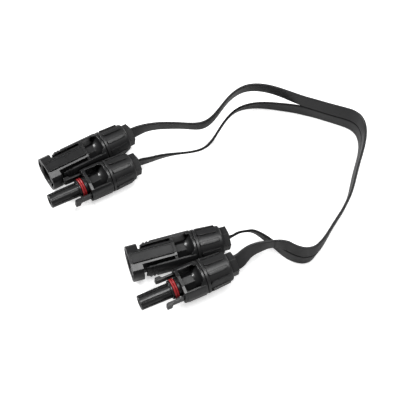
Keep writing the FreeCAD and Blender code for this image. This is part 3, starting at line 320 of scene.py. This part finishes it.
class Look:
    """Builds a node material around its Principled shader."""

    def __init__(self, name):
        self.material = bpy.data.materials.new(name)
        self.material.use_nodes = True
        self.tree = self.material.node_tree

    def feed(self, socket, value):
        """Links an output to a socket, or stores a number, a vector or an RGB colour in it."""
        if isinstance(value, bpy.types.NodeSocket):
            self.tree.links.new(value, socket)
        else:
            socket.default_value = (*value, 1.0) if socket.type == "RGBA" else value

    def node(self, kind, inputs=None, **settings):
        node = self.tree.nodes.new(kind)
        for name, value in settings.items():
            setattr(node, name, value)
        for name, value in (inputs or {}).items():
            self.feed(node.inputs[name], value)
        return node

    def surface(self, inputs):
        """Feeds the Principled shader and returns the finished material."""
        for name, value in inputs.items():
            self.feed(self.tree.nodes["Principled BSDF"].inputs[name], value)
        return self.material

    @cached_property
    def position(self):
        return self.node("ShaderNodeTexCoord").outputs["Object"]

    def strip_uv(self):
        return self.node("ShaderNodeUVMap", uv_map="run").outputs["UV"]

    def noise(self, scale, detail=3.0, roughness=0.5, vector=None):
        return self.node("ShaderNodeTexNoise", {
            "Scale": scale, "Detail": detail, "Roughness": roughness,
            "Vector": vector or self.position}).outputs["Fac"]

    def remap(self, value, span, to):
        return self.node("ShaderNodeMapRange", {
            "Value": value, "From Min": span[0], "From Max": span[1],
            "To Min": to[0], "To Max": to[1]}).outputs["Result"]

    def math(self, operation, *values):
        return self.node("ShaderNodeMath", dict(enumerate(values)), operation=operation).outputs[0]

    def mix(self, factor, a, b):
        # colour mixing uses sockets 6 and 7 and output 2
        return self.node("ShaderNodeMix", {0: factor, 6: a, 7: b}, data_type="RGBA").outputs[2]

    def two_tone(self, noise, a, b):
        return self.mix(self.remap(noise, WIDE, FULL), a, b)

    def bump(self, height, strength, depth, normal=None):
        """Bump with its depth in mm, on top of another normal if one is given."""
        inputs = {"Strength": strength, "Distance": depth * MM, "Height": height}
        if normal is not None:
            inputs["Normal"] = normal
        return self.node("ShaderNodeBump", inputs).outputs["Normal"]

    def edge_mask(self, rounded):
        """0 on flat ground, towards 1 where the rounded normal leaves the true one."""
        true = self.node("ShaderNodeNewGeometry").outputs["Normal"]
        dot = self.node("ShaderNodeVectorMath", {0: rounded, 1: true}, operation="DOT_PRODUCT")
        return self.remap(dot.outputs["Value"], span=(0.995, 0.80), to=FULL)


def moulded(name, dark, light, roughness, level=0.5, edge=(0.085, 0.085, 0.088), grain=0.35):
    """Moulded plastic: fine grain, soft sink marks, edges lightened partly by wear and partly by a painted
    highlight, and painted shade in crevices.
    """
    m = Look(name)
    base = m.two_tone(m.noise(scale=55, detail=4.0, roughness=0.6), dark, light)
    rounded = m.node("ShaderNodeBevel", {"Radius": 0.28 * MM}, samples=4).outputs["Normal"]
    mask = m.edge_mask(rounded)
    scuff_and_glint = m.noise(scale=420, detail=5.0, roughness=0.65)
    # lighter edges along the rounded normal: partly wear, partly a painted highlight
    wear_and_highlight = m.math("MULTIPLY", mask, m.remap(scuff_and_glint, NARROW, to=(0.25, 1.0)))
    # painted shade: ambient occlusion darkens the colour and dims the reflections in crevices and recesses
    occlusion = m.node("ShaderNodeAmbientOcclusion", {"Distance": 2.6 * MM}, samples=6)
    painted_crevice_shade = m.remap(occlusion.outputs["AO"], span=(0.26, 0.88), to=(0.05, 1.0))
    wear_and_highlight_strength = 0.55
    worn_and_highlit = m.mix(m.math("MULTIPLY", wear_and_highlight, wear_and_highlight_strength), base, edge)
    fine = m.noise(scale=2600, detail=2.0, roughness=0.55)
    flow = m.noise(scale=130)
    sink_marks = m.bump(flow, strength=0.25, depth=0.10, normal=rounded)
    return m.surface({
        "Base Color": m.mix(painted_crevice_shade, (0.0, 0.0, 0.0), worn_and_highlit),
        "Roughness": m.math("ADD", m.remap(fine, WIDE, to=(roughness - 0.04, roughness + 0.05)),
                            m.remap(flow, WIDE, to=(-0.03, 0.04))),
        "Specular IOR Level": m.math("MULTIPLY", painted_crevice_shade, level),
        "Normal": m.bump(fine, strength=grain, depth=0.02, normal=sink_marks),
    })


def jacket_look(name):
    """Black strip: extrusion lines along its length, with painted shade that makes it darker and duller near
    the groove.
    """
    m = Look(name)
    uv = m.strip_uv()
    along = m.node("ShaderNodeMapping", {"Vector": uv, "Scale": (0.02, 5.0, 1.0)})
    lines = m.noise(scale=1.6, detail=4.0, roughness=0.6, vector=along.outputs["Vector"])
    patch = m.noise(scale=45, detail=4.0, roughness=0.6)
    base = m.two_tone(patch, (0.012, 0.012, 0.0125), (0.020, 0.020, 0.021))
    base = m.mix(m.remap(lines, NARROW, to=(0.0, 0.5)), base, (0.018, 0.018, 0.019))
    across = m.node("ShaderNodeSeparateXYZ", {0: uv}).outputs["Y"]
    # painted shade: near the groove the colour darkens and the reflections dim
    groove = m.remap(m.math("ABSOLUTE", across), span=(0.25, 0.75), to=(1.0, 0.0))
    painted_groove_shade, painted_groove_dimming = 0.75, 0.3
    fine = m.noise(scale=3000, detail=2.0)
    return m.surface({
        "Base Color": m.mix(m.math("MULTIPLY", groove, painted_groove_shade), base, (0.004, 0.004, 0.004)),
        "Roughness": m.math("ADD", m.remap(lines, WIDE, to=(0.40, 0.50)),
                            m.remap(patch, WIDE, to=(-0.03, 0.04))),
        "Specular IOR Level": m.math("SUBTRACT", 0.5, m.math("MULTIPLY", groove, painted_groove_dimming)),
        "Normal": m.bump(fine, strength=0.25, depth=0.015,
                         normal=m.bump(lines, strength=0.35, depth=0.05)),
    })


def rubber(name, dark, light, roughness, sheen=0.0, coat=0.0):
    """Soft rubber with painted shade where it turns away from the eye."""
    m = Look(name)
    body = m.two_tone(m.noise(scale=160, detail=4.0, roughness=0.6), dark, light)
    turned = m.node("ShaderNodeLayerWeight", {"Blend": 0.35}).outputs["Facing"]
    shade = tuple(0.35 * channel for channel in dark)
    fine = m.noise(scale=2200, roughness=0.6)
    return m.surface({
        # painted shade: the colour darkens towards the rims that turn away from the eye
        "Base Color": m.mix(m.remap(turned, span=(0.15, 0.75), to=(0.0, 0.8)), body, shade),
        "Roughness": m.remap(fine, WIDE, to=(roughness - 0.05, roughness + 0.06)),
        "Specular IOR Level": 0.5,
        "Coat Weight": coat,
        "Coat Roughness": 0.25,
        "Sheen Weight": sheen,
        "Normal": m.bump(fine, strength=0.2, depth=0.02),
    })


def metal(name, bright, dull, roughness, grain=0.25):
    m = Look(name)
    tone = m.noise(scale=300, detail=4.0, roughness=0.6)
    fine = m.noise(scale=1800, detail=4.0, roughness=0.6)
    return m.surface({
        "Base Color": m.two_tone(tone, bright, dull),
        "Metallic": 1.0,
        "Roughness": m.remap(fine, WIDE, to=(roughness - 0.06, roughness + 0.08)),
        "Normal": m.bump(fine, strength=grain, depth=0.012),
    })


def strand_look(name):
    """Fine copper wires laid side by side."""
    m = Look(name)
    wires = m.node("ShaderNodeTexWave", {
        "Scale": 0.9, "Distortion": 0.6, "Detail": 1.0, "Vector": m.strip_uv(),
    }, wave_type="BANDS", bands_direction="DIAGONAL").outputs["Fac"]
    return m.surface({
        "Base Color": m.mix(wires, (0.50, 0.20, 0.10), (0.85, 0.42, 0.26)),
        "Metallic": 1.0,
        "Roughness": m.remap(wires, FULL, to=(0.42, 0.25)),
        "Normal": m.bump(wires, strength=0.5, depth=0.05),
    })


MATERIALS = {
    "plug_plastic": moulded(
        "plug_plastic_look", dark=(0.0075, 0.0076, 0.0080), light=(0.0120, 0.0121, 0.0128),
        roughness=0.33, level=0.62),
    "nut_plastic": moulded(
        "nut_plastic_look", dark=(0.0105, 0.0106, 0.0110), light=(0.0165, 0.0165, 0.0173),
        roughness=0.39, level=0.62, grain=0.5),
    "strip_jacket": jacket_look("strip_jacket_look"),
    "red_seal": rubber(
        "red_seal_look", dark=(0.30, 0.012, 0.015), light=(0.42, 0.020, 0.024),
        roughness=0.42, coat=0.1),
    "bush_rubber": rubber(
        "bush_rubber_look", dark=(0.018, 0.018, 0.019), light=(0.028, 0.028, 0.030),
        roughness=0.6, sheen=0.1),
    "contact_plate": metal(
        "contact_plate_look", bright=(0.78, 0.77, 0.74), dull=(0.62, 0.61, 0.59), roughness=0.26),
    "spring_steel": metal(
        "spring_steel_look", bright=(0.60, 0.60, 0.62), dull=(0.46, 0.46, 0.48),
        roughness=0.32, grain=0.35),
    "basket_plastic": moulded(
        "basket_plastic_look", dark=(0.30, 0.29, 0.26), light=(0.38, 0.37, 0.34),
        roughness=0.45, edge=(0.5, 0.5, 0.47)),
    "copper_strand": strand_look("copper_strand_look"),
}

# ---------------------------------------------------------------- CAD pieces
# name pattern, edge rounding in mm, outer miter; the first match counts
EDGE_ROUNDING = [
    ("_housing$", 0.16, "MITER_ARC"),
    ("_gland_nut$", 0.12, "MITER_ARC"),
    ("latch", 0.12, "MITER_SHARP"),
    ("_(clamp_basket|seal_bushing)$", 0.10, "MITER_ARC"),
    ("_contact$", 0.06, "MITER_ARC"),
    ("_retaining_clip$", 0.03, "MITER_ARC"),
]


def finish_piece(piece, width, miter):
    """Welds split facets, clears flat seams and rounds edges, all as modifiers."""
    slots = piece.material_slots
    if slots:
        look = MATERIALS[slots[0].material.name.split(".")[0]]
        for slot in slots:
            slot.material = look
    attributes = piece.data.attributes
    for name in ("custom_normal", "sharp_edge", "sharp_face"):
        if name in attributes:
            attributes.remove(attributes[name])
    weld = piece.modifiers.new("weld", "WELD")
    weld.merge_threshold = 1e-6
    flats = piece.modifiers.new("flats", "DECIMATE")
    flats.decimate_type = "DISSOLVE"
    flats.angle_limit = math.radians(0.4)
    bevel = piece.modifiers.new("round", "BEVEL")
    bevel.limit_method = "ANGLE"
    bevel.angle_limit = math.radians(28.0)
    bevel.width = width * MM
    bevel.segments = 2
    bevel.use_clamp_overlap = True
    bevel.loop_slide = True
    bevel.miter_outer = miter
    shade = piece.modifiers.new("shade", "WEIGHTED_NORMAL")
    shade.mode = "FACE_AREA"
    shade.keep_sharp = False


# ---------------------------------------------------------------- strip section, mm
# x runs from the groove edge to the outer edge, y through the thickness
HALF_W, HALF_T = 4.45, 0.7
TOP_JOINED = [(0.0, 0.20), (0.16, 0.27), (0.34, 0.42), (0.58, 0.60), (0.92, HALF_T)]
TOP_ROUND = [(0.04, 0.27), (0.15, 0.45), (0.31, 0.58), (0.52, 0.665), (0.80, HALF_T)]
TOP_FLAT = [(x, HALF_T) for x in (1.6, 2.6, 3.6, 4.7, 5.8, 6.9, 7.75)]
TOP_OUTER = [(2 * HALF_W - x, y) for x, y in reversed(TOP_ROUND)]
CORE_HALF_W, CORE_HALF_T = 2.5, 0.35
CLEARANCE = 0.03  # between the conductor and its bore
# conductor and bore sections as scales of the strip's
CORE = (CORE_HALF_W / HALF_W, CORE_HALF_T / HALF_T)
BORE = ((CORE_HALF_W + CLEARANCE) / HALF_W, (CORE_HALF_T + CLEARANCE) / HALF_T)
PART_LENGTH = 10.0  # over this length a joined section turns into a free one
TWIN_STEPS, LEG_STEPS = 6, 4  # steps between two table rows
JACKET_BEGIN, CORE_BEGIN = -16.5, -22.6  # lead piece, as distances behind the plug
LEAD_STEP, LEAD_STEPS_STOP, LEAD_END = 0.8, 25.9, 26.0
BLEND_NEAR, BLEND_FAR = 2.0, 24.0


def outline(free):
    """Section from the groove over one face, the outer edge and back; 0 joined, 1 free."""
    top = [((1 - free) * a[0] + free * b[0], (1 - free) * a[1] + free * b[1])
           for a, b in zip(TOP_JOINED, TOP_ROUND)]
    top += TOP_FLAT + TOP_OUTER
    return top + [(2 * HALF_W, 0.0)] + [(x, -y) for x, y in reversed(top)]


def mesh_object(name, bm, look):
    bmesh.ops.recalc_face_normals(bm, faces=bm.faces)
    mesh = bpy.data.meshes.new(name)
    bm.to_mesh(mesh)
    bm.free()
    mesh.polygons.foreach_set("use_smooth", [True] * len(mesh.polygons))
    mesh.materials.append(MATERIALS[look])
    obj = bpy.data.objects.new(name, mesh)
    scene.collection.objects.link(obj)
    return obj


def to_scene(point):
    return Vector((point + SHIFT) * MM)


class Skin:
    """Collects rings of points into one mesh; its UV map is (run, place across the strip)."""

    def __init__(self):
        self.bm = bmesh.new()
        self.uv = {}

    def vert(self, point, run, across):
        vert = self.bm.verts.new(to_scene(point))
        self.uv[vert] = (run, across)
        return vert

    def ring(self, section, frame, scale=(1.0, 1.0), side=1):
        centre, across, normal, run = frame
        return [self.vert(centre + across * (x - HALF_W) * scale[0] + normal * y * scale[1],
                          run, side * x) for x, y in section]

    def bore(self, section, frame):
        """Ring of the conductor's hole, closed by a point slightly proud on the groove side."""
        centre, across, _, run = frame
        tip = 1.02
        return self.ring(section, frame, BORE) + [
            self.vert(centre - across * HALF_W * BORE[0] * tip, run, 0.0)]

    def hollow(self, section, frame, side=1):
        """Outer ring, closed by a point in the groove edge, and bore ring."""
        return self.ring(section + [(0.0, 0.0)], frame, side=side), self.bore(section, frame)

    def bridge(self, a, b, closed=True):
        for i in range(len(a) if closed else len(a) - 1):
            j = (i + 1) % len(a)
            self.bm.faces.new((a[i], a[j], b[j], b[i]))

    def done(self, name, look):
        layer = self.bm.loops.layers.uv.new("run")
        for face in self.bm.faces:
            for loop in face.loops:
                loop[layer].uv = self.uv[loop.vert]
        return mesh_object(name, self.bm, look)


# ---------------------------------------------------------------- frames along the strips
def unit(vector):
    return vector / np.linalg.norm(vector)


def squared(across, normal):
    """Both directions at unit length, the normal made square to the width."""
    across = unit(across)
    return across, unit(normal - across * np.dot(across, normal))


def smooth_rows(rows, steps):
    """Catmull-Rom curve through evenly spaced rows."""
    rows = np.array(rows, float)
    padded = np.vstack([2 * rows[0] - rows[1], rows, 2 * rows[-1] - rows[-2]])
    smooth = []
    for before, start, end, after in zip(padded, padded[1:], padded[2:], padded[3:]):
        for k in range(steps):
            u = k / steps
            smooth.append(0.5 * (2 * start + (end - before) * u
                                 + (2 * before - 5 * start + 4 * end - after) * u * u
                                 + (3 * start - before - 3 * end + after) * u ** 3))
    smooth.append(rows[-1])
    return smooth


def twin_frames():
    """Groove point and, for each side, the direction away from the groove and the normal."""
    return [(row[:3], {1: squared(row[3:6], row[6:9]), -1: squared(-row[9:12], row[12:15])})
            for row in smooth_rows(TWIN, TWIN_STEPS)]


def leg_frames(key):
    """Free strip from its lead piece to the joined strips, turned to match them."""
    rows = smooth_rows([LEADS[key][-1][1:]] + LEGS[key], LEG_STEPS)
    return [(row[:3], *squared(row[3:6] * SIDE[key], row[6:9] * TURN[key])) for row in rows]


def with_run(frames):
    """Adds the distance covered so far to each frame."""
    run, previous = 0.0, frames[0][0]
    measured = []
    for centre, across, normal in frames:
        run += float(np.linalg.norm(centre - previous))
        previous = centre
        measured.append((centre, across, normal, run))
    return measured


def lead_frames(key, begin):
    """Lead piece: straight along the plug axis up to 0, then a Hermite curve through its rows."""
    rows = np.array(LEADS[key])
    frames = []
    for run in np.append(np.arange(begin, LEAD_STEPS_STOP, LEAD_STEP), LEAD_END):
        if run <= 0.0:
            row = rows[1]
            centre = row[1:4] + PLUG_AXES[key] * run
        else:
            i = int(np.searchsorted(rows[:, 0], run))
            before, start, end = rows[i - 2:i + 1]
            after = rows[i + 1] if i + 1 < len(rows) else 2 * end - start
            length = end[0] - start[0]
            u = (run - start[0]) / length
            slope_start = (end - before) / (end[0] - before[0]) * length
            slope_end = (after - start) / (after[0] - start[0]) * length
            row = ((2 * u ** 3 - 3 * u * u + 1) * start + (u ** 3 - 2 * u * u + u) * slope_start
                   + (-2 * u ** 3 + 3 * u * u) * end + (u ** 3 - u * u) * slope_end)
            centre = row[1:4]
        frames.append((centre, *squared(row[4:7] * SIDE[key], row[7:10] * TURN[key]), run))
    return frames


# ---------------------------------------------------------------- strips
def build_jacket():
    """Joined strips and the four free ones, in one skin with a bore along each strip."""
    skin = Skin()
    joined = outline(0.0)
    twin = twin_frames()
    run = 0.0
    sections = []
    for i, (groove, strips) in enumerate(twin):
        if i:
            run += float(np.linalg.norm(groove - twin[i - 1][0]))
        half_web = unit(strips[1][1] + strips[-1][1]) * joined[0][1]
        first, last = (skin.vert(groove + half_web, run, 0.0),
                       skin.vert(groove - half_web, run, 0.0))
        rings, bores = {}, {}
        for side, (across, normal) in strips.items():
            frame = (groove + across * HALF_W, across, normal, run)
            rings[side] = [first] + skin.ring(joined[1:-1], frame, side=side) + [last]
            bores[side] = skin.bore(joined, frame)
        at_end = i in (0, len(twin) - 1)
        middle = skin.vert(groove, run, 0.0) if at_end else None
        sections.append((rings, bores, middle, run))
    pairs = list(zip(sections, sections[1:]))
    for a, b in pairs:
        for side in (1, -1):
            skin.bridge(a[0][side], b[0][side], closed=False)
    for side in (1, -1):
        for a, b in pairs:
            skin.bridge(a[1][side], b[1][side])

    for key in LEGS:
        side, turn = SIDE[key], TURN[key]
        rings, bores, middle, end_run = sections[0 if turn == 1 else -1]
        last, last_bore = rings[side] + [middle], bores[side]
        for centre, across, normal, distance in with_run(leg_frames(key)[::-1])[1:]:
            section = outline(min(1.0, distance / PART_LENGTH))
            frame = (centre, across, normal, end_run - turn * distance)
            ring, bore = skin.hollow(section, frame, side)
            skin.bridge(last, ring)
            skin.bridge(last_bore, bore)
            last, last_bore = ring, bore
        skin.bridge(last, last_bore)
    obj = skin.done("twin_jacket_skin", "strip_jacket")
    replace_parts(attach(obj, "lead"), "twin_jacket")


def conductor(name, frames):
    """Flat stranded conductor along the frames, capped at both ends."""
    skin = Skin()
    rings = [skin.ring(outline(1.0), frame, CORE) for frame in frames]
    skin.bm.faces.new(rings[0])
    for a, b in zip(rings, rings[1:]):
        skin.bridge(a, b)
    skin.bm.faces.new(rings[-1])
    return skin.done(name + "_strands", "copper_strand")


def build_core(name, side, start, stop):
    """Conductor of one strip, through both its free ends."""
    line = leg_frames(start)
    for groove, strips in twin_frames()[1:]:
        across, normal = strips[side]
        line.append((groove + across * HALF_W, across, normal))
    line += leg_frames(stop)[::-1][1:]
    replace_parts(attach(conductor(name, with_run(line)), "lead"), name)


def blend_lead(obj, key, frames, name):
    """Lets the lead piece bend between the cable and its plug."""
    near, far = (next(frame[0] for frame in frames if frame[3] >= place)
                 for place in (BLEND_NEAR, BLEND_FAR))
    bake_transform(obj, "lead", key + "_plug",
             start=tuple((far + SHIFT) * MM), end=tuple((near + SHIFT) * MM))
    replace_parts(obj, name)


def build_lead_jacket(key):
    name = "lead_jacket_" + key
    frames = lead_frames(key, JACKET_BEGIN)
    skin = Skin()
    rings = [skin.hollow(outline(1.0), frame) for frame in frames]
    for a, b in zip(rings, rings[1:]):
        skin.bridge(a[0], b[0])
        skin.bridge(a[1], b[1])
    skin.bridge(*rings[0])
    skin.bridge(*rings[-1])
    blend_lead(skin.done(name + "_skin", "strip_jacket"), key, frames, name)


def build_lead_conductor(key):
    name = "lead_conductor_" + key
    frames = lead_frames(key, CORE_BEGIN)
    blend_lead(conductor(name, frames), key, frames, name)


# ---------------------------------------------------------------- probe seals, mm
SEAL_PLACE = 20.4  # behind the nose, along the axis
SEAL_TURNS = 120
SEAL_FOOT = [(-1.14, 3.92), (-1.16, 4.55)]  # place along the axis, radius
LIP_PLACE, LIP_CENTRE_R, LIP_R = -0.62, 5.08, 0.60
LIP_POINTS, LIP_START, LIP_TURN = 10, 185, 18.5  # angles in degrees
VALLEY_R = 5.02


def seal_profile():
    """Flat foot and two rounded lips with a valley between them."""
    half = list(SEAL_FOOT)
    for k in range(LIP_POINTS):
        angle = math.radians(LIP_START - LIP_TURN * k)
        half.append((LIP_PLACE + LIP_R * math.cos(angle), LIP_CENTRE_R + LIP_R * math.sin(angle)))
    mirrored = [(-x, radius) for x, radius in reversed(half)]
    return [(SEAL_PLACE + x, radius) for x, radius in half + [(0.0, VALLEY_R)] + mirrored]


def build_o_ring(key):
    nose, lateral, panel = PROBE_FRAMES[key]
    bm = bmesh.new()
    rings = []
    for i in range(SEAL_TURNS):
        angle = 2 * math.pi * i / SEAL_TURNS
        rings.append([bm.verts.new(to_scene(nose + PLUG_AXES[key] * x
                                            + lateral * (radius * math.cos(angle))
                                            + panel * (radius * math.sin(angle))))
                      for x, radius in seal_profile()])
    for a, b in zip(rings, rings[1:] + rings[:1]):
        for j in range(len(a)):
            k = (j + 1) % len(a)
            bm.faces.new((a[j], a[k], b[k], b[j]))
    obj = mesh_object(key + "_o_ring_lips", bm, "red_seal")
    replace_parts(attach(obj, key + "_plug"), key + "_o_ring")


# ---------------------------------------------------------------- build
for name in nodes:
    for pattern, width, miter in EDGE_ROUNDING:
        if re.search(pattern, name):
            finish_piece(nodes[name], width, miter)
            break

build_jacket()
build_core("conductor_upper", side=1, start="shell1", stop="probe2")
build_core("conductor_lower", side=-1, start="probe1", stop="shell2")
for key in LEADS:
    build_lead_jacket(key)
    build_lead_conductor(key)
for key in PROBE_FRAMES:
    build_o_ring(key)

# ---------------------------------------------------------------- floor, light and camera, m
FLOOR_SIZE, FLOOR_GAP = 4.0, 0.0002
FLOOR_BOUNCE = (0.62, 0.62, 0.62)  # colour for reflections and bounced light
FLOOR_GLOW = 0.55  # extra light that only the camera sees
WORLD_LIGHT, WORLD_SEEN = 0.16, 1.0  # strength as a light and to the camera
CAMERA_HEIGHT_ANGLE, CAMERA_DISTANCE = math.radians(53.8), 0.575


def build_floor():
    """Pale floor that the camera sees brighter than reflections do."""
    bm = bmesh.new()
    bmesh.ops.create_grid(bm, x_segments=2, y_segments=2, size=FLOOR_SIZE)
    mesh = bpy.data.meshes.new("floor")
    bm.to_mesh(mesh)
    bm.free()
    floor = bpy.data.objects.new("floor", mesh)
    floor.location = (0, 0, cad_box[0][2] - FLOOR_GAP)
    scene.collection.objects.link(floor)
    m = Look("floor_look")
    tone = m.noise(scale=3.0, detail=2.0)
    seen = m.node("ShaderNodeLightPath").outputs["Is Camera Ray"]
    pale = m.mix(tone, (0.90, 0.90, 0.90), (0.92, 0.92, 0.92))
    mesh.materials.append(m.surface({
        "Base Color": m.mix(seen, FLOOR_BOUNCE, pale),
        "Roughness": 0.9,
        "Specular IOR Level": 0.0,
        "Emission Color": (1.0, 1.0, 1.0),
        "Emission Strength": m.math("MULTIPLY", seen, FLOOR_GLOW),
    }))


def aim_along(obj, direction):
    obj.rotation_mode = "QUATERNION"
    obj.rotation_quaternion = direction.to_track_quat("-Z", "Y")
    scene.collection.objects.link(obj)


def softbox(name, place, size, power):
    """Square area light aimed at the origin."""
    light = bpy.data.lights.new(name, "AREA")
    light.shape = "RECTANGLE"
    light.size = light.size_y = size
    light.energy = power
    obj = bpy.data.objects.new(name, light)
    obj.location = place
    aim_along(obj, -Vector(place))


def build_world():
    world = bpy.data.worlds.new("studio")
    scene.world = world
    world.use_nodes = True
    tree = world.node_tree
    background = tree.nodes["Background"]
    background.inputs["Color"].default_value = (1.0, 1.0, 1.0, 1.0)
    light_path = tree.nodes.new("ShaderNodeLightPath")
    strength = tree.nodes.new("ShaderNodeMapRange")
    strength.inputs["To Min"].default_value = WORLD_LIGHT
    strength.inputs["To Max"].default_value = WORLD_SEEN
    tree.links.new(light_path.outputs["Is Camera Ray"], strength.inputs["Value"])
    tree.links.new(strength.outputs["Result"], background.inputs["Strength"])


def build_camera():
    """Camera on the -Y side, looking down at the tables' origin."""
    lens = bpy.data.cameras.new("camera")
    lens.lens, lens.sensor_width = 90.0, 36.0
    lens.clip_start, lens.clip_end = 0.01, 20.0
    camera = bpy.data.objects.new("camera", lens)
    back = Vector((0.0, -math.cos(CAMERA_HEIGHT_ANGLE), math.sin(CAMERA_HEIGHT_ANGLE)))
    camera.location = Vector(SHIFT * MM) + back * CAMERA_DISTANCE
    aim_along(camera, -back)
    scene.camera = camera


build_floor()
softbox("key", place=(-0.75, 0.30, 0.62), size=0.35, power=9.0)
softbox("top", place=(0.20, -0.22, 0.95), size=0.45, power=6.0)
softbox("rim", place=(0.70, 0.75, 0.35), size=0.25, power=3.0)
build_world()
scene.view_settings.view_transform = "Standard"
build_camera()
